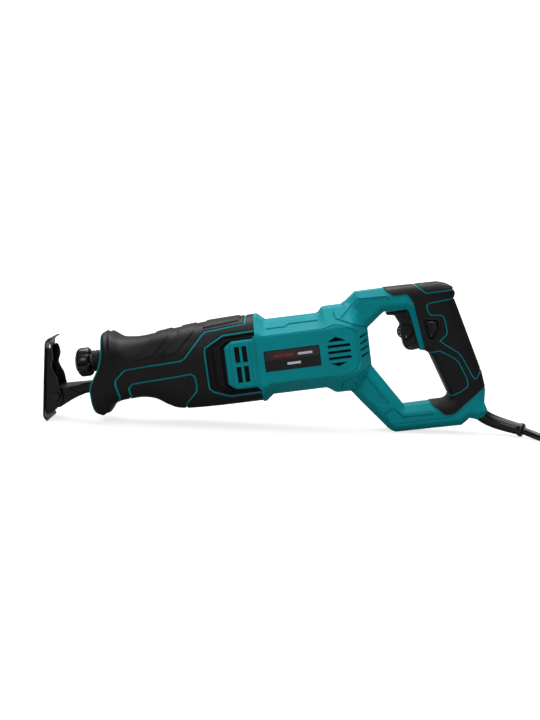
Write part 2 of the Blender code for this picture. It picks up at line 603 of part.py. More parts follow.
def build_motor():
    stator = ring("stator_core", "core_steel", 33.0, 26.0, (2.0, 0, 0), (52.0, 0, 0), steps=FINE_STEPS)
    for name, side in (("upper", 1), ("lower", -1)):
        pole = slab(f"pole_{name}", "core_steel",
                    (((2.2, side * 18.9), (51.8, side * 18.9), (51.8, side * 28.0), (2.2, side * 28.0)),),
                    -9.0, 9.0)
        join(stator, pole)
    for name, side in (("upper", 1), ("lower", -1)):
        outer = ((-3.5, side * 19.0), (57.5, side * 19.0), (57.5, side * 22.0), (-3.5, side * 22.0))
        coil = slab(f"field_coil_{name}", "copper", (outer,), -13.0, 13.0, edge=1.0)
        lane = ((0.5, side * 15.0), (53.5, side * 15.0), (53.5, side * 30.0), (0.5, side * 30.0))
        cut(coil, slab(f"coil_lane_{name}", None, (lane,), -9.4, 9.4))
    spin = pivot("armature_axis", (0, 0, 0))
    shoulder = PINION_X0 + PINION_BACK + GAP
    shaft = ((0, 92.2), (SHAFT_R, 91.6), (SHAFT_R, shoulder), (PINION_BORE_R - GAP, shoulder),
             (PINION_BORE_R - GAP, PINION_X1 - 0.6), (0, PINION_X1 - 0.8))
    turned("armature_shaft", "bright_steel", shaft, (0, 0, 0), (1, 0, 0), spin)
    ring("armature_core", "core_steel", 18.0, SHAFT_R + GAP, (3.0, 0, 0), (51.0, 0, 0), spin)
    ring("armature_winding_front", "copper", 16.5, SHAFT_R + GAP, (-8.0, 0, 0), (3.0 - GAP, 0, 0), spin)
    ring("armature_winding_rear", "copper", 16.5, SHAFT_R + GAP, (51.0 + GAP, 0, 0), (59.0, 0, 0), spin)
    ring("commutator", "brass", 12.0, SHAFT_R + GAP, (59.0 + GAP, 0, 0), (76.0, 0, 0), spin)
    build_fan(spin)
    bearing("front_bearing", (FRONT_BEARING_X, 0, 0), (FRONT_BEARING_X + BEARING_WIDTH, 0, 0))
    bearing("rear_bearing", (REAR_BEARING_X, 0, 0), (REAR_BEARING_X + BEARING_WIDTH, 0, 0))
    for name, side in (("left", -1), ("right", 1)):
        holder = box(f"brush_holder_{name}", "brass", (62.0, min(side * 15, side * 34), -6.5),
                     (73.0, max(side * 15, side * 34), 6.5))
        way = box(f"brush_way_{name}", None, (64.2, min(side * 10, side * 30), -4.3),
                  (70.8, max(side * 10, side * 30), 4.3))
        cut(holder, way)
        box(f"carbon_brush_{name}", "carbon", (64.5, min(side * 12.4, side * 26), -4.0),
            (70.5, max(side * 12.4, side * 26), 4.0), edge=0.3)


def build_fan(spin):
    fan = ring("cooling_fan", "black_plastic", 9.0, SHAFT_R + GAP, (-27.0, 0, 0), (-12.0, 0, 0), spin)
    disc = ring("fan_disc", "black_plastic", FAN_R, 8.0, (-16.0, 0, 0), (-14.0, 0, 0), spin, edge=0.2)
    join(fan, disc)
    bm = bmesh.new()
    blades = 11
    for i in range(blades):
        place = (Matrix.Rotation(2 * math.pi * i / blades, 4, "X")
                 @ Matrix.Translation(Vector((-20.0, 0, 17.2)) * MM)
                 @ Matrix.Diagonal((9.0 * MM, 1.4 * MM, 19.6 * MM, 1)))
        bmesh.ops.create_cube(bm, size=1, matrix=place)
    join(fan, put("fan_blades", mesh_from(bm, "fan_blades"), "black_plastic", (0, 0, 0), spin))


# ---- bevel pair and crank -------------------------------------------------------------------------


def tooth_profile(teeth, radius, tip, root, phase):
    """Closed outline of a toothed wheel, as (radius, angle), with its first tooth at the phase."""
    pitch = 2 * math.pi / teeth
    slope = math.tan(math.radians(20)) / radius
    outline = []
    for i in range(teeth):
        middle = phase + i * pitch
        half = pitch * TOOTH_WIDE / 2
        foot = half + slope * (radius - root)
        head = half - slope * (tip - radius)
        outline += [(root, middle - foot), (tip, middle - head), (tip, middle + head), (root, middle + foot)]
    return outline


def bevel_wheel(name, material, teeth, mate, phase, back, parent, axis):
    """A bevel gear with its cone's apex at the origin, turned about local Z."""
    radius = TOOTH_MODULE * teeth / 2
    depth = TOOTH_MODULE * mate / 2  # from the apex to the pitch circle, along the axis
    cone = math.atan2(radius, depth)
    bm = bmesh.new()
    rows = []
    for share in (1.0, 1.0 - FACE_SHARE):
        row = []
        reach = TOOTH_MODULE * share
        for r, angle in tooth_profile(teeth, radius, radius + TOOTH_HIGH * TOOTH_MODULE,
                                      radius - TOOTH_DEEP * TOOTH_MODULE, phase):
            out = (r - radius) * share
            x = radius * share + out * math.cos(cone)
            z = -depth * share + out * math.sin(cone)
            row.append(bm.verts.new(Vector((x * math.cos(angle), x * math.sin(angle), z)) * MM))
        rows.append(row)
    count = len(rows[0])
    foot = [bm.verts.new((v.co.x * 0.9, v.co.y * 0.9, (-depth - back) * MM)) for v in rows[0]]
    for a, b in ((foot, rows[0]), (rows[0], rows[1])):
        for i in range(count):
            bm.faces.new((a[i], a[(i + 1) % count], b[(i + 1) % count], b[i]))
    bm.faces.new(foot[::-1])
    bm.faces.new(rows[1])
    turn = Vector((0, 0, 1)).rotation_difference(Vector(axis))
    return put(name, mesh_from(bm, name), material, (CRANK_X, 0, 0), parent, turn)


def build_drive():
    spin = bpy.data.objects["armature_axis"]
    pinion = bevel_wheel("bevel_pinion", "bright_steel", PINION_TEETH, GEAR_TEETH, 0.0,
                         PINION_BACK, spin, (-1, 0, 0))
    cut(pinion, rod("pinion_bore", None, PINION_BORE_R, (-60, 0, 0), (-30, 0, 0), steps=16))
    crank = pivot("crank_axis", (CRANK_X, 0, 0))
    gear = bevel_wheel("crank_gear", "bright_steel", GEAR_TEETH, PINION_TEETH,
                       math.pi / GEAR_TEETH, GEAR_BACK, crank, (0, 0, 1))
    top = -PINION_R + 0.2
    cut(gear, rod("gear_dish", None, GEAR_R * (1 - FACE_SHARE) - 2.4, (CRANK_X, 0, top), (CRANK_X, 0, 5)))
    cut(gear, rod("gear_bore", None, 5.0 + GAP, (CRANK_X, 0, -30), (CRANK_X, 0, 10), steps=16))
    crank_pin_x = CRANK_X + CRANK_THROW
    cut(gear, rod("pin_bore", None, CRANK_PIN_R + GAP, (crank_pin_x, 0, -30), (crank_pin_x, 0, 10), steps=16))
    gear_low = -PINION_R - GEAR_BACK
    shaft = ((0, top + 1.5), (7.0, top + 1.5), (7.0, top + GAP), (5.0, top + GAP), (5.0, gear_low - GAP),
             (SHAFT_R, gear_low - GAP), (SHAFT_R, -34.0), (0, -34.0))
    turned("crank_shaft", "bright_steel", shaft, (CRANK_X, 0, 0), (0, 0, 1), crank)
    rod("crank_pin", "bright_steel", CRANK_PIN_R, (crank_pin_x, 0, gear_low), (crank_pin_x, 0, YOKE_LOW - GAP),
        crank, steps=16, edge=0.5)
    bearing("crank_bearing", (CRANK_X, 0, -35.2), (CRANK_X, 0, -35.2 + BEARING_WIDTH))


def build_plunger():
    slide = pivot("plunger_axis", (0, 0, PLUNGER_Z))
    yoke_x = CRANK_X + CRANK_THROW
    front = yoke_x - SLIDER_HALF - SLIDING - YOKE_WALL
    rear = yoke_x + SLIDER_HALF + SLIDING + YOKE_WALL
    yoke = box("plunger_yoke", "bright_steel", (front, -YOKE_HALF, YOKE_LOW), (rear, YOKE_HALF, YOKE_HIGH),
               slide, edge=1.5)
    lane = YOKE_HALF - YOKE_WALL
    cut(yoke, box("yoke_lane", None, (yoke_x - SLIDER_HALF - SLIDING, -lane, YOKE_LOW - 5),
                  (yoke_x + SLIDER_HALF + SLIDING, lane, YOKE_HIGH + 5)))
    box("slider_block", "bronze", (yoke_x - SLIDER_HALF, -SLIDER_HALF, YOKE_LOW + 0.4),
        (yoke_x + SLIDER_HALF, SLIDER_HALF, YOKE_HIGH - 0.4), slide, edge=0.8)
    plunger = rod("plunger", "bright_steel", PLUNGER_R, (front - GAP, 0, PLUNGER_Z),
                  (PLUNGER_FRONT, 0, PLUNGER_Z), slide, edge=0.8)
    cut(plunger, box("blade_slot", None, (PLUNGER_FRONT - 5, -0.9, PLUNGER_Z - 12),
                     (PLUNGER_FRONT + 20, 0.9, PLUNGER_Z + 12)))
    ring("rear_bush", "bronze", BUSH_R, PLUNGER_R + GAP, (-128, 0, PLUNGER_Z), (-104, 0, PLUNGER_Z))
    ring("front_bush", "bronze", FRONT_BUSH_R, PLUNGER_R + GAP, (-170, 0, PLUNGER_Z), (-148, 0, PLUNGER_Z))
    ring("plunger_seal", "black_rubber", FRONT_BUSH_R, PLUNGER_R + GAP, (-174.5, 0, PLUNGER_Z),
         (-170.0 - GAP, 0, PLUNGER_Z))
    build_clamp(slide)


def build_clamp(slide):
    """The keyless clamp: a steel body on the plunger, a sprung collar that turns on it, an end cap."""
    body_r = 11.0
    body = ring("clamp_body", "bright_steel", body_r, PLUNGER_R + GAP, (COLLAR_REAR, 0, PLUNGER_Z),
                (COLLAR_FRONT + 0.5, 0, PLUNGER_Z), slide, edge=0.5)
    cut(body, box("body_slot", None, (COLLAR_FRONT - 5, -0.9, PLUNGER_Z - 13),
                  (COLLAR_FRONT + 9, 0.9, PLUNGER_Z + 13)))
    turn = pivot("collar_axis", ((COLLAR_FRONT + COLLAR_REAR) / 2, 0, PLUNGER_Z), slide)
    collar = ring("clamp_collar", "black_plastic", COLLAR_R, body_r + SLIDING,
                  (COLLAR_REAR - 0.5, 0, PLUNGER_Z), (COLLAR_FRONT, 0, PLUNGER_Z), turn, edge=1.2,
                  steps=FINE_STEPS)
    bm = bmesh.new()
    ribs = 8
    for i in range(ribs):
        place = (Matrix.Rotation(2 * math.pi * (i + 0.5) / ribs, 4, "X")
                 @ Matrix.Translation(Vector((0, 0, COLLAR_R + 1.0)) * MM)
                 @ Matrix.Diagonal((20 * MM, 2.6 * MM, 3.6 * MM, 1)))
        bmesh.ops.create_cube(bm, size=1, matrix=place)
    cut(collar, put("collar_flutes", mesh_from(bm, "collar_flutes"), None, POSITION[turn], turn))
    cap = ring("clamp_cap", "cast_alloy", 9.4, 5.0, (COLLAR_FRONT + 0.5 - GAP, 0, PLUNGER_Z),
               (COLLAR_FRONT - 1.6, 0, PLUNGER_Z), slide, edge=0.5)
    cut(cap, box("cap_slot", None, (COLLAR_FRONT - 5, -0.9, PLUNGER_Z - 7.6),
                 (COLLAR_FRONT + 9, 0.9, PLUNGER_Z + 7.6)))


# ---- shoe -----------------------------------------------------------------------------------------
def build_shoe():
    extend = pivot("shoe_extend_axis", (ARM_REAR, 0, (ARM_TOP + ARM_BOTTOM) / 2))
    px, pz = SHOE_PIVOT
    arm_half = 14.0
    arm = box("shoe_arm", "black_steel", (-206.0, -ARM_HALF, ARM_BOTTOM), (ARM_REAR, ARM_HALF, ARM_TOP), extend,
              edge=1.0)
    knuckle = ((px + 4, ARM_TOP - 0.4), (-205.0, ARM_TOP - 0.2), (-196.0, ARM_BOTTOM - 2.6), (-209.3, -22.0),
               (px + 0.8, -25.5), (px - 4.4, -18.0), (px - 4.4, -8.0))
    join(arm, slab("arm_knuckle", "black_steel", (knuckle,), -arm_half, arm_half, extend, edge=1.0, angle=60))
    pin_hole = rod("arm_pin_hole", None, SHOE_PIN_R + SLIDING, (px, -30, pz), (px, 30, pz), steps=16)
    cut(arm, pin_hole)
    tilt = pivot("shoe_tilt_axis", (px, 0, pz), extend)
    front = Vector(SHOE_TOP), Vector(SHOE_FOOT)
    along = (front[1] - front[0]).normalized()
    back = Vector((-along.y, along.x)) * SHOE_SHEET
    if back.x < 0:
        back = -back
    lip = Vector(SHOE_LIP_TIP)
    upper = Vector(UPPER_LIP_TIP)
    plate = [front[0], front[1], lip, lip + Vector((1.6, 1.4)), front[1] + back + Vector((0.3, 0.6)),
             front[0] + back - Vector((0, 0.6)), upper + Vector((0.7, -1.9)), upper]
    shoe = slab("shoe", "black_steel", ([tuple(p) for p in plate],), -SHOE_HALF, SHOE_HALF, tilt, edge=0.5,
                angle=80)
    cheek = ((-219.6, 41.0), (-214.3, 39.5), (-213.6, 29.4), (-217.2, 22.0), (-216.4, 15.6), (-213.0, 8.2),
             (-212.6, -2.0), (-211.1, -10.0), (-210.8, -16.3), (-217.4, -25.0), (-229.0, -30.6),
             (-231.6, -28.6), (-218.9, 40.0))
    for side in (-1, 1):
        low, high = sorted((side * (CHEEK_OUTER - SHOE_SHEET), side * CHEEK_OUTER))
        join(shoe, slab(f"cheek_{'left' if side < 0 else 'right'}", "black_steel", (cheek,), low, high, tilt))
    cut(shoe, rod("cheek_pin_hole", None, SHOE_PIN_R + GAP, (px, -30, pz), (px, 30, pz), tilt, steps=16))
    cut(shoe, box("shoe_slot", None, (-240.0, -5.0, -6.0), (-215.0, 5.0, 38.0), tilt, edge=2.0))
    under_head = CHEEK_OUTER + GAP
    head = ((0, under_head + 2.1), (4.2, under_head + 1.5), (4.2, under_head), (SHOE_PIN_R, under_head),
            (SHOE_PIN_R, -under_head), (4.2, -under_head), (4.2, -under_head - 1.5), (0, -under_head - 2.1))
    turned("shoe_pin", "black_steel", head, (px, 0, pz), (0, 1, 0), extend, steps=16)


# ---- trigger, dial, switch, lock ------------------------------------------------------------------
def build_controls():
    squeeze = pivot("trigger_axis", (165.0, 0, 8.0))
    outline = ((140.4, 29.6), (140.8, 27.4), (148.2, 26.1), (151.6, 19.8), (153.2, 17.0), (153.2, 2.0),
               (154.0, -1.0), (155.0, -8.0), (158.2, -11.6), (163.5, -12.9), (169.6, -12.0), (170.2, -9.4),
               (176.0, -9.4), (173.0, 28.6), (161.6, 30.6), (146.0, 30.4))
    trigger = slab("trigger", "black_plastic", (outline,), -TRIGGER_HALF, TRIGGER_HALF, squeeze, edge=1.2)
    cx, cz = DIAL_CENTRE
    cut(trigger, slab("dial_lane", None, (((140.0, cz - DIAL_R - 0.7), (cx + DIAL_R + 0.7, cz - DIAL_R - 0.7),
                                           (cx + DIAL_R + 0.7, cz + DIAL_R + 0.7),
                                           (140.0, cz + DIAL_R + 0.7)),),
                      -DIAL_HALF - SLIDING, DIAL_HALF + SLIDING, squeeze))
    stem_z = 8.0
    join(trigger, rod("trigger_stem", "black_plastic", 3.0, (170.0, 0, stem_z), (185.5, 0, stem_z), squeeze,
                      steps=12))
    dial_axis = pivot("dial_axis", (cx, 0, cz), squeeze)
    dial = rod("speed_dial", "black_plastic", DIAL_R, (cx, -DIAL_HALF, cz), (cx, DIAL_HALF, cz), dial_axis,
               edge=0.5)
    cut(dial, rod("dial_bore", None, 1.5, (cx, -9, cz), (cx, 9, cz), dial_axis, steps=12))
    switch = box("switch_body", "black_plastic", (184.0, -10.0, -12.0), (204.0, 10.0, 28.0), edge=0.8)
    cut(switch, rod("stem_hole", None, 3.5, (180.0, 0, stem_z), (194.0, 0, stem_z), steps=16))
    press = pivot("lock_axis", (184.5, -16.0, 8.3))
    slab("lock_button", "black_plastic", (LOCK_OUTLINE,), -19.6, -13.8, press, edge=0.8)
    rod("interference_capacitor", "white_plastic", 6.5, (211.3, 0, -18.0), (217.9, 0, -44.0), edge=0.8,
        steps=16)
    box("cord_clamp", "white_plastic", (214.0, -11.7, -73.0), (219.5, 11.7, -64.0), edge=0.8)


# ---- cord, guard, coil, plug ----------------------------------------------------------------------
def build_guard():
    """The moulded sleeve that stiffens the cord where it leaves the handle."""
    start = saw_frame.matrix_world @ (Vector((GUARD_ROOT[0], 0, GUARD_ROOT[1])) * MM) / MM
    tilt = saw_frame.matrix_world.to_3x3()
    leave = (tilt @ Vector((GUARD_DIR[0], 0, GUARD_DIR[1]))).normalized()
    end = Vector(GUARD_END)
    arrive = Vector(GUARD_END_DIR).normalized()
    exit_point = start + leave * GUARD_STRAIGHT
    pull = (end - exit_point).length * 0.95
    count = 18
    points, radii = [start], [GUARD_R]
    start = exit_point
    for i in range(count - 1):
        t = i / count
        points.append((2 * t ** 3 - 3 * t ** 2 + 1) * start + (t ** 3 - 2 * t ** 2 + t) * pull * leave
                      + (3 * t ** 2 - 2 * t ** 3) * end + (t ** 3 - t ** 2) * pull * arrive)
        radii.append(GUARD_R - 0.5 * t)
    points += [end - arrive * 4.2, end - arrive * 4.0, end]
    radii += [radii[-1], GUARD_RING_R, GUARD_RING_R]
    tube("cable_guard", "black_rubber", points, radii, resolution=3)


def build_cord():
    spacing = 2 * CORD_R * 2.2
    for name, route in (("cord", CORD_ROUTE), ("cord_tail", TAIL_ROUTE)):
        points = smooth_route(route, spacing)
        tube(name, "cord_rubber", points, [CORD_R] * len(points), resolution=2)
    soft = 3.5
    profile = ((COIL_INNER + soft, COIL_HIGH), (COIL_OUTER - soft, COIL_HIGH), (COIL_OUTER, COIL_HIGH - soft),
               (COIL_OUTER, soft), (COIL_OUTER - soft, 0.1), (COIL_INNER + soft, 0.1), (COIL_INNER, soft),
               (COIL_INNER, COIL_HIGH - soft))
    turned("cord_coil", "cord_rubber", profile, (*COIL_CENTRE, 0), (0, 0, 1), None, closed=True,
           steps=FINE_STEPS)
    x, y, z = PLUG_END
    sleeve = 20.0
    body_y = y + GAP + sleeve
    plug = box("plug", "cord_rubber", (x - PLUG_WIDE / 2, body_y, z - PLUG_THICK / 2),
               (x + PLUG_WIDE / 2, body_y + PLUG_LONG, z + PLUG_THICK / 2), None, edge=5.0)
    neck = ((0, sleeve + 4), (7.5, sleeve + 4), (7.5, sleeve - 2), (5.0, 0), (0, 0))
    join(plug, turned("plug_neck", "cord_rubber", neck, (x, y + GAP, z), (0, 1, 0), None, steps=16))
    for side in (-1, 1):
        pin_x = x + side * PIN_APART / 2
        join(plug, rod(f"plug_pin_{side}", "brass", PIN_R, (pin_x, body_y + PLUG_LONG - 6, z),
                       (pin_x, body_y + PLUG_LONG + PIN_LONG, z), None, steps=12))


# ---- standing on the bench ------------------------------------------------------------------------
def stand_on_bench():
    """Tilts the frame until shoe and heel both touch, and centres the tool over the origin."""
    rise = SHOE_LIP_TIP[1] - HEEL[1]
    run = HEEL[0] - SHOE_LIP_TIP[0]
    saw_frame.rotation_euler = (0, -math.atan2(rise, run), 0)
    bpy.context.view_layer.update()
    graph = bpy.context.evaluated_depsgraph_get()
    low, high = math.inf, -math.inf
    front, back = math.inf, -math.inf
    for item in parts.objects:
        if item.type != "MESH":
            continue
        evaluated = item.evaluated_get(graph)
        mesh = evaluated.to_mesh()
        for vertex in mesh.vertices:
            place = evaluated.matrix_world @ vertex.co
            low = min(low, place.z)
            front, back = min(front, place.x), max(back, place.x)
        evaluated.to_mesh_clear()
    saw_frame.location = (-(front + back) / 2, 0, -low)
    bpy.context.view_layer.update()


build_housings()
build_housing_screws()
build_nose()
build_plate()
build_motor()
build_drive()
build_plunger()
build_shoe()
build_controls()
stand_on_bench()
build_guard()
build_cord()
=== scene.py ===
# %% [markdown]
# # A corded reciprocating saw
# The real tool is a motor in a two-part plastic housing, with a D-shaped handle behind it and a
# gear case in front. A soft boot wraps the gear case, because that is where the second hand goes.
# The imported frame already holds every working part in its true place. These cells dress it: the
# parts that show most get meshes of their own, and each finish is built from nodes.

import math

import bmesh
import bpy
from mathutils import Matrix, Vector, geometry


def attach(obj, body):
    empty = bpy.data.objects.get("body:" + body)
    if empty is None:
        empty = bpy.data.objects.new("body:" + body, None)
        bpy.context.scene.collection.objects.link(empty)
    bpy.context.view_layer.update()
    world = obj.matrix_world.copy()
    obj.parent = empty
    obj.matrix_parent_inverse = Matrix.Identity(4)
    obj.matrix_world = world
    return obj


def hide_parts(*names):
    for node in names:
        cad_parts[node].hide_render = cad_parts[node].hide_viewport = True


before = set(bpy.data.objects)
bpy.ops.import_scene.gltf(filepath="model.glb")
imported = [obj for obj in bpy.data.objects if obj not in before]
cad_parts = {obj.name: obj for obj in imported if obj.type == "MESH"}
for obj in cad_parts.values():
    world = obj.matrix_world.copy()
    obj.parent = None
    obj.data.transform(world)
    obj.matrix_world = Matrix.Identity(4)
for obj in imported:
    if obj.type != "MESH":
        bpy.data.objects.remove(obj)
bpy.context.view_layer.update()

# %% [markdown]
# ## The tool's own axes
# On the drawing board the tool lies level: X runs back along the motor, Y across and Z up, in
# millimetres, with the front of the motor housing at zero. On the bench it rests on its shoe and the
# heel of its handle, so everything is turned nose-down by one angle. Each shape below is drawn in
# the level axes, which keeps the numbers readable, and one matrix puts it on the bench.

# %% From drawing board to bench
MM = 0.001
TILT = 0.163509339094162
ON_BENCH = (
    Matrix.Translation((-0.010353, 0.0, 0.074374))
    @ Matrix.Rotation(-TILT, 4, "Y")
    @ Matrix.Scale(MM, 4)
)


def on_bench(x, y, z):
    """A point of the level tool, in millimetres, as it stands on the bench, in metres."""
    return ON_BENCH @ Vector((x, y, z))


heel = on_bench(135.9, 0, -97.8)
print("the heel of the handle stands", round(heel.z / MM, 2), "mm above the bench")

# %% [markdown]
# ## Camera
# The tool is seen square from its left side, from a little above and from about a metre away. The
# camera aims at one point of the tool and rolls by two degrees, which gives the view a slight lean.

# %% Place the camera
AIM = on_bench(11.77, 0, -5.03)
CAMERA_DISTANCE = 1.05
CAMERA_HEIGHT_ANGLE = math.radians(8.2)
CAMERA_ROLL = math.radians(2.05)
LENS = 49.07

camera_data = bpy.data.cameras.new("camera")
camera_data.lens = LENS
camera_data.sensor_width = 36.0
camera_data.clip_start = 0.05
camera_data.clip_end = 40.0
camera = bpy.data.objects.new("camera", camera_data)
bpy.context.collection.objects.link(camera)
back = Vector((0, -math.cos(CAMERA_HEIGHT_ANGLE), math.sin(CAMERA_HEIGHT_ANGLE)))
right = Vector((1, 0, 0))
up = back.cross(right)
rolled_right = right * math.cos(CAMERA_ROLL) + up * math.sin(CAMERA_ROLL)
rolled_up = up * math.cos(CAMERA_ROLL) - right * math.sin(CAMERA_ROLL)
turn = Matrix((rolled_right, rolled_up, back)).transposed()
camera.matrix_world = Matrix.Translation(AIM + back * CAMERA_DISTANCE) @ turn.to_4x4()
bpy.context.scene.camera = camera
print("camera stands at", tuple(round(v, 3) for v in camera.matrix_world.translation))

# %% [markdown]
# ## Bench and light
# A white sweep under a broad soft light keeps the attention on the tool. The sweep is one sheet: a
# floor that bends up into a wall behind the tool, so there is no horizon line. A large overhead
# light gives the soft bright bands along the top of the tool. A small one in front and a wide one
# behind open up the blacks without hard shadows. The sweep and the air look white to the camera
# only: they light the tool weakly, so that its dark parts stay dark.

# %% Lay the sweep
SWEEP_FRONT, SWEEP_BACK, SWEEP_HIGH, SWEEP_BEND = -3.0, 2.2, 3.0, 1.0
SWEEP_HALF_WIDE, SWEEP_BEND_STEPS = 4.0, 12
SWEEP_SHADE, SWEEP_ROUGH = 0.36, 0.9
GLOW = (("From Min", 0.35), ("From Max", 1.3), ("To Min", 0.76), ("To Max", 1.0))  # by distance, m


def principled(material):
    return next(node for node in material.node_tree.nodes if node.type == "BSDF_PRINCIPLED")


def plain_material(name, colour, roughness):
    material = bpy.data.materials.new(name)
    material.use_nodes = True
    shader = principled(material)
    shader.inputs["Base Color"].default_value = (*colour, 1)
    shader.inputs["Roughness"].default_value = roughness
    return material


profile = [(SWEEP_FRONT, 0.0), (SWEEP_BACK - SWEEP_BEND, 0.0)]
for step in range(1, SWEEP_BEND_STEPS + 1):
    angle = step / SWEEP_BEND_STEPS * math.pi / 2
    profile.append((SWEEP_BACK - SWEEP_BEND + SWEEP_BEND * math.sin(angle),
                    SWEEP_BEND - SWEEP_BEND * math.cos(angle)))
profile.append((SWEEP_BACK, SWEEP_HIGH))
sweep_mesh = bpy.data.meshes.new("studio_sweep")
sweep_mesh.from_pydata(
    [(x, y, z) for y, z in profile for x in (-SWEEP_HALF_WIDE, SWEEP_HALF_WIDE)],
    [],
    [(2 * i, 2 * i + 1, 2 * i + 3, 2 * i + 2) for i in range(len(profile) - 1)],
)
for face in sweep_mesh.polygons:
    face.use_smooth = True
sweep = bpy.data.objects.new("studio_sweep", sweep_mesh)
bpy.context.collection.objects.link(sweep)
studio_white = plain_material("studio_white", (SWEEP_SHADE,) * 3, SWEEP_ROUGH)
nodes, links = studio_white.node_tree.nodes, studio_white.node_tree.links
seen = nodes.new("ShaderNodeLightPath").outputs["Is Camera Ray"]
away = nodes.new("ShaderNodeVectorMath")
away.operation = "LENGTH"
links.new(nodes.new("ShaderNodeTexCoord").outputs["Object"], away.inputs[0])
glow = nodes.new("ShaderNodeMapRange")
glow.interpolation_type = "SMOOTHSTEP"
links.new(away.outputs["Value"], glow.inputs["Value"])
for label, value in GLOW:
    glow.inputs[label].default_value = value
shown = nodes.new("ShaderNodeMath")
shown.operation = "MULTIPLY"
links.new(glow.outputs["Result"], shown.inputs[0])
links.new(seen, shown.inputs[1])
principled(studio_white).inputs["Emission Color"].default_value = (1, 1, 1, 1)
links.new(shown.outputs["Value"], principled(studio_white).inputs["Emission Strength"])
sweep_mesh.materials.append(studio_white)

# %% Hang the lights
LIT_POINT = Vector((0, 0, 0.08))
AIR_LIGHT, AIR_SEEN = 0.14, 1.0  # how bright the air is for the tool, and for the camera
LIGHTS = (  # name, place, width, depth, watts
    ("overhead_softbox", (0.1, 0.05, 1.5), 2.4, 1.5, 33.0),
    ("front_softbox", (-0.7, -2.0, 1.1), 0.9, 0.6, 10.5),
    ("back_softbox", (0.0, 1.2, 1.9), 2.6, 0.8, 26.0),
)
for name, place, wide, deep, watts in LIGHTS:
    light = bpy.data.lights.new(name, "AREA")
    light.shape = "RECTANGLE"
    light.size, light.size_y = wide, deep
    light.energy = watts
    lamp = bpy.data.objects.new(name, light)
    bpy.context.collection.objects.link(lamp)
    lamp.location = place
    lamp.rotation_mode = "QUATERNION"
    lamp.rotation_quaternion = (Vector(place) - LIT_POINT).to_track_quat("Z", "Y")
world = bpy.data.worlds.new("studio_air")
world.use_nodes = True
world.node_tree.nodes["Background"].inputs["Color"].default_value = (1, 1, 1, 1)
nodes, links = world.node_tree.nodes, world.node_tree.links
strength = nodes.new("ShaderNodeMapRange")
links.new(nodes.new("ShaderNodeLightPath").outputs["Is Camera Ray"], strength.inputs["Value"])
strength.inputs["To Min"].default_value = AIR_LIGHT
strength.inputs["To Max"].default_value = AIR_SEEN
links.new(strength.outputs["Result"], nodes["Background"].inputs["Strength"])
bpy.context.scene.world = world
bpy.context.scene.view_settings.view_transform = "Standard"
print(len(LIGHTS), "lights")

# %% [markdown]
# ## Effects that every finish shares
# A moulded or painted surface is never one flat colour. Three small node groups give what all of
# them have: the fine grain of the mould with slow changes of tone, edges rubbed pale by handling,
# and dust where the surface faces up. Each group only puts out values, so one Principled shader in
# each material stays in charge of how the surface answers light.

# %% Build the shared node groups
def new_group(name, inputs, outputs):
    """An empty node group with these float inputs and outputs, and its two end nodes."""
    group = bpy.data.node_groups.new(name, "ShaderNodeTree")
    for label, default in inputs:
        socket = group.interface.new_socket(label, in_out="INPUT", socket_type="NodeSocketFloat")
        socket.default_value = default
    for label in outputs:
        group.interface.new_socket(label, in_out="OUTPUT", socket_type="NodeSocketFloat")
    return group, group.nodes.new("NodeGroupInput"), group.nodes.new("NodeGroupOutput")


def add_noise(tree, where, scale, detail=2.0):
    """A noise texture over the object's own coordinates. scale is a number or a socket."""
    texture = tree.nodes.new("ShaderNodeTexNoise")
    texture.inputs["Detail"].default_value = detail
    tree.links.new(where, texture.inputs["Vector"])
    if isinstance(scale, (int, float)):
        texture.inputs["Scale"].default_value = scale
    else:
        tree.links.new(scale, texture.inputs["Scale"])
    return texture.outputs["Fac"]


def add_math(tree, operation, first, second, clamp=False):
    """One sum over two sockets or numbers."""
    node = tree.nodes.new("ShaderNodeMath")
    node.operation = operation
    node.use_clamp = clamp
    for slot, value in zip(node.inputs, (first, second)):
        if isinstance(value, (int, float)):
            slot.default_value = value
        else:
            tree.links.new(value, slot)
    return node.outputs[0]


def add_ramp(tree, value, low, high):
    """The value stretched so that low becomes 0 and high becomes 1."""
    node = tree.nodes.new("ShaderNodeMapRange")
    node.interpolation_type = "SMOOTHSTEP"
    tree.links.new(value, node.inputs["Value"])
    node.inputs["From Min"].default_value = low
    node.inputs["From Max"].default_value = high
    return node.outputs["Result"]


def object_place(tree):
    return tree.nodes.new("ShaderNodeTexCoord").outputs["Object"]


grain_group, given, made = new_group(
    "mould_grain", [("Scale", 2000.0), ("Depth", 0.5)], ["Height", "Shade"])
place = object_place(grain_group)
fine = add_noise(grain_group, place, given.outputs["Scale"], 3.0)
grain_group.links.new(add_math(grain_group, "MULTIPLY", fine, given.outputs["Depth"]),
                      made.inputs["Height"])
broad = add_noise(grain_group, place, 34.0, 3.0)
mixed = add_math(grain_group, "ADD", add_math(grain_group, "MULTIPLY", fine, 0.35),
                 add_math(grain_group, "MULTIPLY", broad, 0.65))
grain_group.links.new(add_ramp(grain_group, mixed, 0.34, 0.66), made.inputs["Shade"])

rub_group, given, made = new_group("edge_rub", [("Amount", 0.5)], ["Mask"])
pointed = rub_group.nodes.new("ShaderNodeNewGeometry").outputs["Pointiness"]
bare = add_ramp(rub_group, pointed, 0.515, 0.60)
broken = add_ramp(rub_group, add_noise(rub_group, object_place(rub_group), 260.0, 4.0), 0.38, 0.62)
worn = add_math(rub_group, "MULTIPLY", bare, add_math(rub_group, "ADD", broken, 0.35))
rub_group.links.new(add_math(rub_group, "MULTIPLY", worn, given.outputs["Amount"], clamp=True),
                    made.inputs["Mask"])

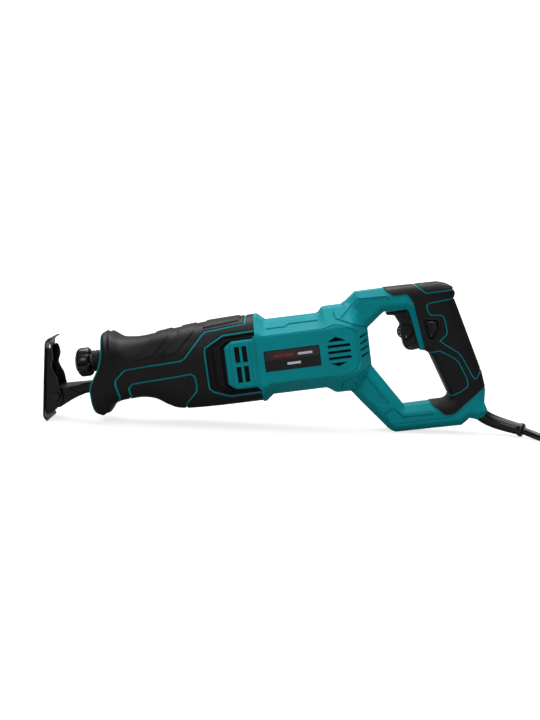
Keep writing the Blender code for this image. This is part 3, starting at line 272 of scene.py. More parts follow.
dust_group, given, made = new_group("settled_dust", [("Amount", 0.2)], ["Mask"])
split = dust_group.nodes.new("ShaderNodeSeparateXYZ")
facing = dust_group.nodes.new("ShaderNodeNewGeometry").outputs["Normal"]
dust_group.links.new(facing, split.inputs[0])
faces_up = add_ramp(dust_group, split.outputs["Z"], 0.2, 1.0)
specks = add_ramp(dust_group, add_noise(dust_group, object_place(dust_group), 900.0, 5.0), 0.45, 0.75)
dust = add_math(dust_group, "MULTIPLY", faces_up, specks)
dust_group.links.new(add_math(dust_group, "MULTIPLY", dust, given.outputs["Amount"], clamp=True),
                     made.inputs["Mask"])
print(len(bpy.data.node_groups), "shared effects")

# %% [markdown]
# ## The finishes
# One function lays the effects over a base colour in the order they happen to the real thing: the
# colour of the moulding, slow changes of tone, rubbed edges, then dust. What does not vary over the
# surface, such as metal and specular level, is a plain number on the shader.

# %% Mix the finishes
def place_group(tree, group, **values):
    node = tree.nodes.new("ShaderNodeGroup")
    node.node_tree = group
    for label, value in values.items():
        node.inputs[label].default_value = value
    return node


def add_mix(tree, factor, first, second):
    """Two colours mixed by a socket. Each is a socket or a triple."""
    node = tree.nodes.new("ShaderNodeMix")
    node.data_type = "RGBA"
    tree.links.new(factor, node.inputs["Factor"])
    for label, colour in (("A", first), ("B", second)):
        slot = next(s for s in node.inputs if s.name == label and s.type == "RGBA")
        if isinstance(colour, tuple):
            slot.default_value = (*colour, 1)
        else:
            tree.links.new(colour, slot)
    return next(s for s in node.outputs if s.type == "RGBA")


def scaled(colour, by):
    return tuple(min(1.0, c * by) for c in colour)


DUST_COLOUR, DUST_ROUGHENS, ROUGH_VARY = (0.36, 0.34, 0.31), 0.3, 0.12
BUMP_STRENGTH, BUMP_DEEP = 0.5, 0.00012


def mix_finish(name, colour, roughness, metal=0.0, grain=2200.0, depth=0.5, tone=0.12,
               rub=0.3, rub_colour=None, dust=0.12, specular=None, brushed=None):
    """A material of one base colour with grain, slow tone changes, rubbed edges and dust."""
    material = bpy.data.materials.new(name)
    material.use_nodes = True
    tree = material.node_tree
    shader = principled(material)
    shader.inputs["Metallic"].default_value = metal
    shader.inputs["Specular IOR Level"].default_value = specular or (0.5 if metal else 0.22)
    texture = place_group(tree, grain_group, Scale=grain, Depth=depth)
    height, shade = texture.outputs["Height"], texture.outputs["Shade"]
    if brushed:
        stretch = tree.nodes.new("ShaderNodeMapping")
        stretch.inputs["Scale"].default_value = brushed
        tree.links.new(object_place(tree), stretch.inputs["Vector"])
        height = add_noise(tree, stretch.outputs["Vector"], 1.0, 2.0)
        shade = add_ramp(tree, height, 0.3, 0.7)
    paint = add_mix(tree, shade, scaled(colour, 1 - tone), scaled(colour, 1 + tone))
    edge = place_group(tree, rub_group, Amount=rub).outputs["Mask"]
    paler = tuple(min(1.0, c * 1.6 + 0.03) for c in colour)
    paint = add_mix(tree, edge, paint, rub_colour or paler)
    film = place_group(tree, dust_group, Amount=dust).outputs["Mask"]
    paint = add_mix(tree, film, paint, DUST_COLOUR)
    tree.links.new(paint, shader.inputs["Base Color"])
    varied = add_math(tree, "MULTIPLY", shade, ROUGH_VARY)
    rough = add_math(tree, "ADD", varied, roughness - ROUGH_VARY / 2)
    rough = add_math(tree, "ADD", rough, add_math(tree, "MULTIPLY", film, DUST_ROUGHENS), clamp=True)
    tree.links.new(rough, shader.inputs["Roughness"])
    bump = tree.nodes.new("ShaderNodeBump")
    bump.inputs["Strength"].default_value = BUMP_STRENGTH
    bump.inputs["Distance"].default_value = BUMP_DEEP
    tree.links.new(height, bump.inputs["Height"])
    tree.links.new(bump.outputs["Normal"], shader.inputs["Normal"])
    return material


RECIPES = {  # name: colour, roughness, and what differs from a plain moulding
    "teal_plastic": ((0.0005, 0.262, 0.300), 0.54, dict(
        depth=0.6, rub=0.08, rub_colour=(0.02, 0.36, 0.40), tone=0.06, dust=0.02, specular=0.12)),
    "black_rubber": ((0.0062, 0.0063, 0.0065), 0.50, dict(
        grain=1500.0, depth=1.0, tone=0.2, rub=0.12, dust=0.05)),
    "black_plastic": ((0.0050, 0.0051, 0.0053), 0.26, dict(
        depth=0.25, rub=0.2, dust=0.02, specular=0.35)),
    "black_steel": ((0.0040, 0.0040, 0.0043), 0.30, dict(
        grain=700.0, depth=0.3, specular=0.3, rub=0.12, rub_colour=(0.06, 0.06, 0.063), dust=0.02)),
    "bright_steel": ((0.55, 0.56, 0.58), 0.26, dict(
        metal=1.0, rub=0.2, brushed=(90, 2400, 2400), dust=0.03)),
    "cast_alloy": ((0.42, 0.43, 0.44), 0.42, dict(
        metal=1.0, grain=1200.0, depth=1.0, rub=0.3, rub_colour=(0.7, 0.71, 0.72))),
    "core_steel": ((0.20, 0.20, 0.21), 0.45, dict(metal=1.0, brushed=(3000, 60, 60))),
    "copper": ((0.62, 0.27, 0.12), 0.32, dict(metal=1.0, brushed=(200, 3600, 3600))),
    "carbon": ((0.03, 0.03, 0.032), 0.6, dict(grain=3000.0)),
    "brass": ((0.68, 0.50, 0.20), 0.24, dict(metal=1.0, brushed=(2400, 140, 2400))),
    "bronze": ((0.42, 0.26, 0.12), 0.4, dict(metal=1.0, grain=1800.0, depth=0.8)),
    "white_plastic": ((0.72, 0.71, 0.67), 0.4, dict(rub=0.1)),
    "cord_rubber": ((0.004, 0.004, 0.0042), 0.24, dict(
        grain=1100.0, depth=0.15, rub=0.0, dust=0.02, specular=0.4)),
    "dark_label": ((0.012, 0.0125, 0.013), 0.36, dict(grain=3200.0, depth=0.2, rub=0.0)),
    "grey_label": ((0.030, 0.031, 0.033), 0.36, dict(grain=3200.0, depth=0.2, rub=0.0)),
    "pale_print": ((0.60, 0.61, 0.62), 0.42, dict(rub=0.0, depth=0.1)),
    "red_print": ((0.30, 0.012, 0.010), 0.42, dict(rub=0.0, depth=0.1)),
    "deep_shadow": ((0.004, 0.004, 0.0042), 0.7, dict(rub=0.0, dust=0.0)),
}
FINISHES = {name: mix_finish(name, colour, roughness, **rest)
            for name, (colour, roughness, rest) in RECIPES.items()}
print(len(FINISHES), "finishes")

# %% [markdown]
# ## Finishes for the parts that stay as they are
# Gears, bearings, brushes, windings and the like already have their true shapes, and most of them
# are seen only through a slot or when the tool is opened. They keep their meshes and take a finish
# that suits what they are made of.

# %% Finish the working parts
for name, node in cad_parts.items():
    slot = node.data.materials[0].name.split(".")[0]
    node.data.materials.clear()
    node.data.materials.append(FINISHES[slot])
print(len(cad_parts), "frame parts finished")

# %% [markdown]
# ## The mains lead
# A rubber-sheathed lead leaves the heel of the handle through a moulded guard, drops to the bench
# and runs off to the right. Such a saw has about two metres of it, so most of the lead is wound into
# a coil as for storage, held by a tie, with its plug lying beside it. The coil is wound as a person
# would do it: three turns on the bench, two in the grooves above them, and the rest on top.

# %% Route the lead
LEAD_R = 4.0
LEAD_SPACING, WOUND_STEPS, TIGHT_BEND = 4.0, 250, 0.16
COIL_X, COIL_Y = 356.0, -22.0
LEAD_START = ((272.6, -13.9, 7.7), (281.2, -21.0, 5.4), (287.0, -28.6, 4.3), (292.6, -38.0, 4.1),
              (298.0, -47.4, 4.1))
LEAD_TAIL = ((373.5, -78.6, 11.6), (381.8, -76.6, 10.4), (390.5, -75.2, 9.0), (400.0, -73.0, 7.4),
             (408.6, -70.0, 6.2), (416.6, -65.4, 5.6), (423.6, -58.6, 6.4), (428.6, -50.4, 8.2),
             (430.0, -41.9, 9.1), (430.0, -34.0, 9.2))
COIL_TURNS = (  # turns made, radius of the turn, height: the lead winds through these
    (0.09, 62.4, 4.1), (0.34, 52.4, 4.1), (0.95, 52.0, 4.1), (1.25, 44.0, 4.1), (1.95, 44.0, 4.1),
    (2.25, 36.0, 4.1), (2.80, 36.0, 4.1), (3.06, 40.0, 11.1), (3.90, 40.0, 11.1), (4.20, 48.0, 11.1),
    (4.84, 48.0, 11.1), (5.10, 44.0, 18.0), (5.98, 44.0, 18.0), (6.25, 54.5, 12.1),
)


def eased(t):
    return t * t * (3 - 2 * t)


def coil_point(turns):
    """The lead's centre after this many turns, counted from the coil's left side."""
    for (t0, r0, z0), (t1, r1, z1) in zip(COIL_TURNS, COIL_TURNS[1:]):
        if turns <= t1:
            break
    share = eased((turns - t0) / (t1 - t0))
    radius, height = r0 + (r1 - r0) * share, z0 + (z1 - z0) * share
    angle = math.pi + 2 * math.pi * turns
    return Vector((COIL_X + radius * math.cos(angle), COIL_Y + radius * math.sin(angle), height))


def on_curve(a, b, c, d, t):
    """The point a share t of the way from b to c, on the smooth curve through all four."""
    return 0.5 * (2 * b + (c - a) * t + (2 * a - 5 * b + 4 * c - d) * t * t
                  + (3 * b - a - 3 * c + d) * t ** 3)


def smooth_route(points, spacing):
    """Points at about this spacing on a smooth curve through the given ones."""
    points = [Vector(p) for p in points]
    ends = [2 * points[0] - points[1], *points, 2 * points[-1] - points[-2]]
    route = []
    for a, b, c, d in zip(ends, ends[1:], ends[2:], ends[3:]):
        count = max(1, round((c - b).length / spacing))
        route += [on_curve(a, b, c, d, i / count) for i in range(count)]
    return [*route, points[-1]]


first, last = COIL_TURNS[0][0], COIL_TURNS[-1][0]
wound = [coil_point(first + (last - first) * i / WOUND_STEPS) for i in range(WOUND_STEPS + 1)]
lead_route = smooth_route([*LEAD_START, *wound[::2], *LEAD_TAIL], LEAD_SPACING)
lead_long = sum((b - a).length for a, b in zip(lead_route, lead_route[1:]))
print("lead", round(lead_long), "mm long in", len(lead_route), "points")
for a, b, c in zip(lead_route, lead_route[1:], lead_route[2:]):
    bend = (b - a).angle(c - b)
    if bend > TIGHT_BEND:
        print("  tight bend at", [round(v, 1) for v in b], "radius", round((c - b).length / bend, 1))

# %% [markdown]
# ## Sheath, plug and tie
# The lead is one curve with a round section, so its centre line is its length. The plug is a lofted
# body: a ribbed neck that swells into a flat grip. The coil is held by one strap, closed like a cable
# tie.


def in_metres(points):
    return [Vector(p) * MM for p in points]


def draw_tube(name, points, radius, material, resolution=5):
    """A round tube along a line of points, given in millimetres on the bench."""
    curve = bpy.data.curves.new(name, "CURVE")
    curve.dimensions = "3D"
    curve.bevel_depth = radius * MM
    curve.bevel_resolution = resolution
    curve.use_fill_caps = True
    spline = curve.splines.new("POLY")
    spline.points.add(len(points) - 1)
    for knot, place in zip(spline.points, in_metres(points)):
        knot.co = (*place, 1)
    for knot in spline.points:
        knot.radius = 1.0
    spline.use_smooth = True
    curve.materials.append(FINISHES[material])
    item = bpy.data.objects.new(name, curve)
    bpy.context.collection.objects.link(item)
    return item


lead = draw_tube("mains_lead", lead_route, LEAD_R, "cord_rubber")
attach(lead, "housing")
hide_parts("cord", "cord_coil", "cord_tail")

# %% Mould the plug
PLUG_X, PLUG_Y, PLUG_Z = 430.0, -41.0, 9.2


def piece(name, bm, materials, body, slot=None, stands_for=(), smooth_angle=35.0):
    """Turns a drawn mesh into a piece that rides on a body of the frame."""
    mesh = bpy.data.meshes.new(name)
    bm.to_mesh(mesh)
    bm.free()
    for material in materials:
        mesh.materials.append(FINISHES[material])
    for face in mesh.polygons:
        face.use_smooth = True
    mesh.set_sharp_from_angle(angle=math.radians(smooth_angle))
    item = bpy.data.objects.new(name, mesh)
    bpy.context.collection.objects.link(item)
    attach(item, body)
    slot or materials[0]
    if stands_for:
        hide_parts(*stands_for)
    return item


def skin_rings(bm, rings, material=0, capped=True):
    """Joins rings of points, alike in number, with strips of faces, and closes both ends if capped."""
    rows = [[bm.verts.new(p) for p in points] for points in rings]
    for a, b in zip(rows, rows[1:]):
        count = len(a)
        for i in range(count):
            face = bm.faces.new((a[i], a[(i + 1) % count], b[(i + 1) % count], b[i]))
            face.material_index = material
    for row in (rows[0][::-1], rows[-1]) if capped else ():
        bm.faces.new(row).material_index = material


def squircle(half_wide, half_high, power, count=32):
    """Points round a section between an ellipse (power 2) and a rectangle (a high power)."""
    points = []
    for i in range(count):
        angle = 2 * math.pi * i / count
        c, s = math.cos(angle), math.sin(angle)
        reach = (abs(c / half_wide) ** power + abs(s / half_high) ** power) ** (-1 / power)
        points.append((reach * c, reach * s))
    return points


PLUG_SECTIONS = (  # distance from the lead's end, half width, half height, power
    (0.3, 4.9, 4.9, 2), (0.8, 5.4, 5.4, 2), (3.0, 5.5, 5.5, 2), (3.4, 4.7, 4.7, 2), (4.6, 4.7, 4.7, 2),
    (5.0, 5.8, 5.7, 2), (7.2, 6.0, 5.8, 2), (7.6, 4.9, 4.9, 2), (8.8, 4.9, 4.9, 2), (9.2, 6.4, 6.1, 2),
    (11.4, 6.6, 6.3, 2), (11.8, 5.2, 5.2, 2), (13.0, 5.2, 5.2, 2), (13.4, 7.0, 6.6, 2),
    (16.5, 8.2, 7.1, 2.2),
    (20.0, 11.0, 7.9, 2.5), (24.0, 14.4, 8.4, 3), (30.0, 16.3, 8.6, 3.4), (40.0, 15.6, 8.6, 3.4),
    (47.0, 15.9, 8.7, 3.6), (55.0, 17.2, 8.8, 4), (60.5, 17.4, 8.8, 4.6), (61.9, 16.8, 8.2, 4.6),
    (62.2, 16.0, 7.6, 4.6),
)
PIN = ((62.0, 2.4), (79.0, 2.4), (80.6, 1.7), (81.2, 0.6))  # distance from the lead's end, radius
PIN_APART, PIN_SIDES = 19.0, 20
bm = bmesh.new()
rings = []
for along, half_wide, half_high, power in PLUG_SECTIONS:
    rings.append([Vector((PLUG_X + x, PLUG_Y + along, PLUG_Z + z)) * MM
                  for x, z in squircle(half_wide, half_high, power)][::-1])
skin_rings(bm, rings)
for side in (-1, 1):
    pin_x = PLUG_X + side * PIN_APART / 2
    rings = [[Vector((pin_x + r * math.cos(a), PLUG_Y + y, PLUG_Z + r * math.sin(a))) * MM
              for a in (-2 * math.pi * i / PIN_SIDES for i in range(PIN_SIDES))] for y, r in PIN]
    skin_rings(bm, rings, material=1)
plug = piece("mains_plug", bm, ["cord_rubber", "brass"], "housing", stands_for=("plug",))

# %% Strap the coil
TIE_ANGLE = math.radians(62)
TIE_WIDE, TIE_THICK, TIE_STEPS, ON_FLOOR = 5.0, 0.9, 4, 0.1
TIE_HEAD, HEAD_AT, HEAD_LEAN, HEAD_EDGE = (7.5, 7.0, 4.6), (50.0, 20.6), math.radians(42), 0.9
TIE_HUG = (  # distance from the coil's middle, height
    (31.2, 4.0), (31.6, 12.0), (34.5, 19.0), (40.5, 22.8), (47.5, 22.8), (52.6, 16.5), (56.6, 8.6),
    (56.8, 3.4), (55.0, 0.5), (46.0, 0.15), (38.0, 0.15), (32.6, 0.5))
bm = bmesh.new()
outward = Vector((math.cos(TIE_ANGLE), math.sin(TIE_ANGLE), 0))
across = Vector((-outward.y, outward.x, 0))
middle = Vector((COIL_X, COIL_Y, 0))
hub = sum((outward * r + Vector((0, 0, z)) for r, z in TIE_HUG), Vector()) / len(TIE_HUG)
rings = []
side = across * TIE_WIDE / 2
for i in range(len(TIE_HUG) * TIE_STEPS):
    index, share = divmod(i, TIE_STEPS)
    knots = [Vector((*TIE_HUG[(index + k) % len(TIE_HUG)], 0)) for k in (-1, 0, 1, 2)]
    p = on_curve(*knots, share / TIE_STEPS)
    base = outward * p.x + Vector((0, 0, max(ON_FLOOR, p.y)))
    away = (base - hub).normalized() * TIE_THICK
    away.z = max(away.z, ON_FLOOR - base.z)
    corners = (base - side, base + side, base + away + side, base + away - side)
    rings.append([(middle + corner) * MM for corner in corners])
skin_rings(bm, [*rings, rings[0]], capped=False)
bmesh.ops.remove_doubles(bm, verts=bm.verts, dist=0.000001)
bmesh.ops.recalc_face_normals(bm, faces=bm.faces)
head = middle + outward * HEAD_AT[0] + Vector((0, 0, HEAD_AT[1]))
lean = Matrix.Rotation(TIE_ANGLE, 4, "Z") @ Matrix.Rotation(HEAD_LEAN, 4, "Y")
made_head = bmesh.ops.create_cube(bm, size=1, matrix=Matrix.Translation(head * MM) @ lean
                                  @ Matrix.Diagonal((*(side * MM for side in TIE_HEAD), 1)))
edges = list({edge for v in made_head["verts"] for edge in v.link_edges})
bmesh.ops.bevel(bm, geom=edges, offset=HEAD_EDGE * MM, segments=2, affect="EDGES")
tie = piece("cord_tie", bm, ["black_plastic"], "housing")

# %% [markdown]
# ## Drawing on curved skins
# The boot, the housing and the grip all carry lines, panels and pockets that must stay crisp on a
# curved surface. A subdivided grid would blur them. So each skin is drawn flat first: its outline
# and every edge of every line go into one Delaunay triangulation, which keeps them as real edges,
# and an even field of points fills the rest. Then a rule for each skin lifts the flat drawing into
# space, and a depth for each point sinks the grooves.

# %% Flat drawing helpers
import numpy as np


def closed(line):
    """The same line run back to its first point."""
    return [*line, line[0]]


def divide(line, spacing):
    """The same line with more points on it, so that it can follow a curved skin."""
    points = [line[0]]
    for a, b in zip(line, line[1:]):
        count = max(1, math.ceil(math.dist(a, b) / spacing))
        points += [(a[0] + (b[0] - a[0]) * i / count, a[1] + (b[1] - a[1]) * i / count)
                   for i in range(1, count + 1)]
    return points


def offset(line, by, loop=False):
    """The line moved sideways by a distance, to its left if positive, with mitred corners."""
    moved = []
    last = len(line) - 1
    for i, here in enumerate(line):
        before = line[i - 1] if i or loop else None
        after = line[(i + 1) % len(line)] if i < last or loop else None
        normals = []
        for a, b in ((before, here), (here, after)):
            if a is not None and b is not None and math.dist(a, b) > 1e-9:
                along = Vector((b[0] - a[0], b[1] - a[1])).normalized()
                normals.append(Vector((-along.y, along.x)))
        bisector = sum(normals, Vector((0, 0))).normalized()
        reach = by / max(0.45, bisector.dot(normals[0]))
        moved.append((here[0] + bisector.x * reach, here[1] + bisector.y * reach))
    return moved


def distance_to(points, line):
    """How far each point lies from a line of straight runs."""
    points = np.asarray(points, float)
    nearest = np.full(len(points), 1e9)
    for a, b in zip(line, line[1:]):
        a, b = np.asarray(a, float), np.asarray(b, float)
        run = b - a
        share = np.clip(((points - a) @ run) / max(run @ run, 1e-12), 0, 1)
        nearest = np.minimum(nearest, np.linalg.norm(points - a - share[:, None] * run, axis=1))
    return nearest


def inside(points, outline):
    """Which points lie inside a closed outline."""
    points = np.asarray(points, float)
    x, y = points[:, 0], points[:, 1]
    result = np.zeros(len(points), bool)
    for (x0, y0), (x1, y1) in zip(outline, closed(outline)[1:]):
        crosses = (y0 > y) != (y1 > y)
        with np.errstate(divide="ignore", invalid="ignore"):
            result ^= crosses & (x < (x1 - x0) * (y - y0) / (y1 - y0) + x0)
    return result


def triangulate(outline, holes, edges, spacing, extra=()):
    """Points and triangles filling an outline, with every given line kept as edges."""
    kept = [divide(line, spacing) for line in (*map(closed, (outline, *holes)), *edges)]
    (x0, y0), (x1, y1) = np.min(outline, axis=0), np.max(outline, axis=0)
    rows = np.arange(y0, y1, spacing * 0.87)
    field = np.array([(x + (i % 2) * spacing / 2, y) for i, y in enumerate(rows)
                      for x in np.arange(x0, x1, spacing)])
    field = np.array([*field, *extra]) if len(extra) else field
    clear = inside(field, outline)
    for ring in holes:
        clear &= ~inside(field, ring)
    for line in kept:
        clear &= distance_to(field, line) > spacing * 0.42
    points, links = [], []
    for line in kept:
        start = len(points)
        points += [Vector(p) for p in line]
        links += [(start + i, start + i + 1) for i in range(len(line) - 1)]
    points += [Vector(p) for p in field[clear]]
    flat, _, faces, *_ = geometry.delaunay_2d_cdt(points, links, [], 0, 0.004)
    flat = np.array([tuple(p) for p in flat])
    faces = np.array([f for f in faces if len(f) == 3])
    middles = flat[faces].mean(axis=1)
    good = inside(middles, outline)
    for ring in holes:
        good &= ~inside(middles, ring)
    return flat, faces[good]


def twice_area(outline):
    """Twice the area inside an outline, below zero if it runs clockwise."""
    return sum(a[0] * b[1] - b[0] * a[1] for a, b in zip(outline, closed(outline)[1:]))


class Groove:
    """A channel along a line: flat floor, sloping walls."""

    def __init__(self, line, half, wall, depth, floor=None):
        self.line, self.half, self.wall, self.depth, self.floor = line, half, wall, depth, floor

    def edges(self):
        return [offset(self.line, by) for w in (self.half, self.half + self.wall) for by in (w, -w)]

    def sink(self, points):
        away = distance_to(points, self.line)
        return self.depth * np.clip((self.half + self.wall - away) / self.wall, 0, 1)

    def covers(self, middles):
        return distance_to(middles, self.line) < self.half


class Panel:
    """An area raised or sunk inside a closed outline, with a sloping wall of some width inside it."""

    def __init__(self, outline, wall, depth, floor=None):
        self.outline = outline if twice_area(outline) > 0 else outline[::-1]
        self.wall, self.depth, self.floor = wall, depth, floor
        self.inner = offset(self.outline, wall, loop=True)

    def edges(self):
        return [closed(self.outline), closed(self.inner)]

    def sink(self, points):
        away = distance_to(points, closed(self.outline))
        within = inside(points, self.outline) | (away < 0.01)
        return self.depth * np.clip(away / self.wall, 0, 1) * within

    def covers(self, middles):
        return inside(middles, self.inner)


def draw_skin(outline, features, spacing, lift, holes=(), extra=()):
    """Triangulates a skin with its features. Gives its points in space, its triangles and the
    material number of each triangle. lift(flat points) gives points and outward normals."""
    edges = [line for feature in features for line in feature.edges()]
    flat, faces = triangulate(outline, holes, edges, spacing, extra)
    sunk = sum((feature.sink(flat) for feature in features), np.zeros(len(flat)))
    points, normals = lift(flat)
    middles = flat[faces].mean(axis=1)
    material = np.zeros(len(faces), int)
    for feature in features:
        if feature.floor is not None:
            material[feature.covers(middles)] = feature.floor
    return points - normals * sunk[:, None], faces, material


def add_skin(bm, points, faces, material, mirror=False):
    """Puts a drawn skin into a mesh, on the left side or mirrored to the right."""
    flip = np.array((1, -1, 1)) if mirror else 1
    made = [bm.verts.new(Vector(p)) for p in points * flip]
    for (a, b, c), index in zip(faces, material):
        try:
            face = bm.faces.new([made[i] for i in ((a, c, b) if mirror else (a, b, c))])
        except ValueError:  # two points of the drawing fell on one
            continue
        face.material_index = int(index)
    for vert in [v for v in made if not v.link_faces]:
        bm.verts.remove(vert)


def round_off(away, radius):
    """What a rounded edge takes off a half thickness, this far in from the outline."""
    reach = np.clip(away / radius, 0, 1)
    return radius * (1 - np.sqrt(1 - (1 - reach) ** 2))


def numeric_normals(place, flat, outward):
    """Normals of a lifted skin, from its slopes along both flat axes."""
    step = 0.05
    along = place(flat + (step, 0)) - place(flat - (step, 0))
    across = place(flat + (0, step)) - place(flat - (0, step))
    normal = np.cross(along, across)
    normal /= np.maximum(np.linalg.norm(normal, axis=1), 1e-12)[:, None]
    return normal * np.where((normal * outward(flat)).sum(axis=1) < 0, -1, 1)[:, None]


def set_on_bench(bm):
    bmesh.ops.transform(bm, matrix=ON_BENCH, verts=bm.verts)


print("drawing helpers ready, grooves and panels")

# %% [markdown]
# ## The boot
# The front hand holds the tool by a soft black boot stretched over the gear case. It flares into a
# flange that keeps the fingers off the blade, and thin lines of the teal sleeve beneath show through
# its grooves. It is drawn flat as one half, unrolled round its sides, and mirrored.

# %% Shape the boot
SQUARENESS = 3.2
NOSE_STATIONS = np.array((  # station, half width, top, bottom
    (-160.0, 36.6, 47.2, -38.6), (-157.5, 37.5, 48.3, -40.2), (-153.5, 37.4, 48.1, -39.2),
    (-150.5, 36.6, 46.8, -36.4), (-147.0, 34.9, 43.9, -31.4), (-142.5, 32.7, 40.8, -28.1),
    (-132.0, 30.7, 38.5, -26.4), (-118.0, 30.4, 38.1, -26.9), (-110.0, 31.4, 38.9, -30.0),
    (-101.0, 33.2, 39.9, -37.0), (-92.0, 35.0, 41.0, -41.7), (-84.0, 36.0, 41.7, -43.3),
    (-68.0, 36.4, 43.0, -44.5), (-50.0, 36.5, 44.4, -45.1), (-36.0, 36.6, 45.0, -45.3),
    (-0.3, 36.8, 46.0, -45.4),
))
RIM = np.array((  # height, how far the rim stands behind or ahead of its top
    (-45.0, -12.5), (-38.0, -14.6), (-33.0, -16.0), (-26.0, -16.7), (-15.8, -16.7), (-6.2, -16.0),
    (2.1, -11.7), (12.5, -5.4), (22.8, -1.2), (31.0, 0.3), (42.6, 0.6), (48.0, 0.0),
))
LEAN_ENDS = -98.0
NOSE_FRONT, NOSE_REAR = -160.0, -0.3
TOP = 99  # a height that stands for the very top, or with a minus for the very bottom


def smooth_table(table, where):
    """Values between the rows of a table, on smooth curves. The first column is where."""
    keys = table[:, 0]
    where = np.clip(where, keys[0], keys[-1])
    slopes = np.gradient(table[:, 1:], keys, axis=0)
    i = np.clip(np.searchsorted(keys, where, side="right") - 1, 0, len(keys) - 2)
    long = keys[i + 1] - keys[i]
    t = ((where - keys[i]) / long)[:, None]
    long = long[:, None]
    return ((2 * t**3 - 3 * t**2 + 1) * table[i, 1:] + (t**3 - 2 * t**2 + t) * long * slopes[i]
            + (3 * t**2 - 2 * t**3) * table[i + 1, 1:] + (t**3 - t**2) * long * slopes[i + 1])


ROUND = 38.0  # millimetres of flat drawing for one radian round the nose


def nose_place(flat, shrink=0.0):
    """Lifts (station, distance round) to the left side of the nose."""
    half, top, bottom = smooth_table(NOSE_STATIONS, flat[:, 0]).T
    half, high, centre = half - shrink, (top - bottom) / 2 - shrink, (top + bottom) / 2
    angle = flat[:, 1] / ROUND
    c, s = np.cos(angle), np.sin(angle)
    reach = (np.abs(c / half) ** SQUARENESS + np.abs(s / high) ** SQUARENESS) ** (-1 / SQUARENESS)
    z = centre + reach * s
    fade = np.clip((flat[:, 0] - LEAN_ENDS) / (NOSE_STATIONS[0, 0] - LEAN_ENDS), 0, 1)
    x = flat[:, 0] + fade**1.3 * smooth_table(RIM, z)[:, 0]
    return np.column_stack((x, -reach * c, z))


def nose_lift(flat):
    return nose_place(flat), numeric_normals(nose_place, flat, lambda p: nose_place(p) * (0, 1, 1))


def on_nose(line):
    """Turns a line given as (x, z) on the left side into the flat drawing.

    A first or last point with a height of TOP or -TOP stands for the very top or bottom.
    """
    drawn = []
    ends = [p for p in line if abs(p[1]) == TOP]
    for x, z in divide([p for p in line if abs(p[1]) != TOP], 5.0):
        low, high = -math.pi / 2 * ROUND, math.pi / 2 * ROUND
        station = x
        for _ in range(30):
            middle = (low + high) / 2
            for _ in range(3):
                got = nose_place(np.array(((station, middle),)))[0]
                station += x - got[0]
            if got[2] < z:
                low = middle
            else:
                high = middle
        drawn.append((station, (low + high) / 2))
    edge = 1.03 * math.pi / 2 * ROUND
    if line[0] in ends:
        drawn.insert(0, (line[0][0], math.copysign(edge, line[0][1])))
    if line[-1] in ends:
        drawn.append((line[-1][0], math.copysign(edge, line[-1][1])))
    return drawn


LINE_LONG = ((-147.0, -TOP), (-148.9, -22.5), (-150.6, -6.0), (-149.9, -1.7), (-139.5, 7.5), (-80.4, 10.4),
             (-75.2, 12.5), (-54.8, 34.2), (-50.8, 37.2), (-9.3, 40.3), (-8.6, 43.5), (-8.0, TOP))
LINE_LOW = ((-136.5, -TOP), (-137.4, -22.0), (-138.0, -12.8), (-133.8, -8.4), (-71.3, -4.4), (-67.1, -7.3),
            (-66.0, -16.8), (-67.5, -23.8), (-80.5, -37.0), (-84.0, -TOP))
LINE_REAR = ((2.0, 32.4), (-32.9, 31.4), (-52.9, 20.8), (-53.7, 15.7), (-53.6, -22.1), (-49.9, -26.5),
             (-33.5, -33.6), (2.0, -33.1))
POCKET = ((2.0, 30.6), (-33.2, 29.6), (-51.2, 19.6), (-51.9, 15.7), (-51.8, -21.4), (-48.9, -25.0),
          (-33.2, -31.8), (2.0, -31.4))
FRAME_OUT = ((2.0, 29.2), (-31.0, 28.0), (-46.4, 18.6), (-46.4, -20.4), (-31.0, -29.8), (2.0, -30.2))
FRAME_IN = ((2.0, 26.0), (-27.6, 25.6), (-37.0, 19.8), (-37.0, -22.0), (-28.0, -27.8), (2.0, -28.0))
PADS = (  # the raised pads for the palm, along the top
    ((-104.0, TOP), (-108.6, 36.0), (-131.0, 15.0), (-108.0, 17.5), (-88.4, 36.5), (-85.6, TOP)),
    ((-76.5, TOP), (-80.0, 37.0), (-102.0, 16.0), (-82.6, 18.5), (-62.0, 38.0), (-59.4, TOP)),
    ((-49.5, TOP), (-53.5, 39.0), (-76.2, 19.2), (-72.0, 19.4), (-57.0, 35.4), (-50.8, 39.8),
     (-14.0, 42.6), (-13.2, TOP)),
)
features = [
    Groove(on_nose(LINE_LONG), 0.75, 0.45, 0.9, floor=1),
    Groove(on_nose(LINE_LOW), 0.75, 0.45, 0.9, floor=1),
    Groove(on_nose(LINE_REAR), 0.75, 0.45, 0.9, floor=1),
    Panel(on_nose(POCKET), 0.7, 2.4, floor=2),
    Panel(on_nose(FRAME_OUT), 2.6, -2.6),
    Panel(on_nose(FRAME_IN), 1.0, 4.0, floor=2),
    *[Panel(on_nose(pad), 1.5, -1.15) for pad in PADS],
    Groove([(-154.6, -1.05 * math.pi / 2 * ROUND), (-154.6, 1.05 * math.pi / 2 * ROUND)],
           0.5, 2.4, 1.5),
]
top_edge = math.pi / 2 * ROUND
boot_outline = [(NOSE_FRONT, -top_edge), (NOSE_REAR, -top_edge), (NOSE_REAR, top_edge),
                (NOSE_FRONT, top_edge)]
points, faces, material = draw_skin(boot_outline, features, 2.1, nose_lift)
bm = bmesh.new()
add_skin(bm, points, faces, material)
add_skin(bm, points, faces, material, mirror=True)
print("boot skin", len(bm.faces), "faces")


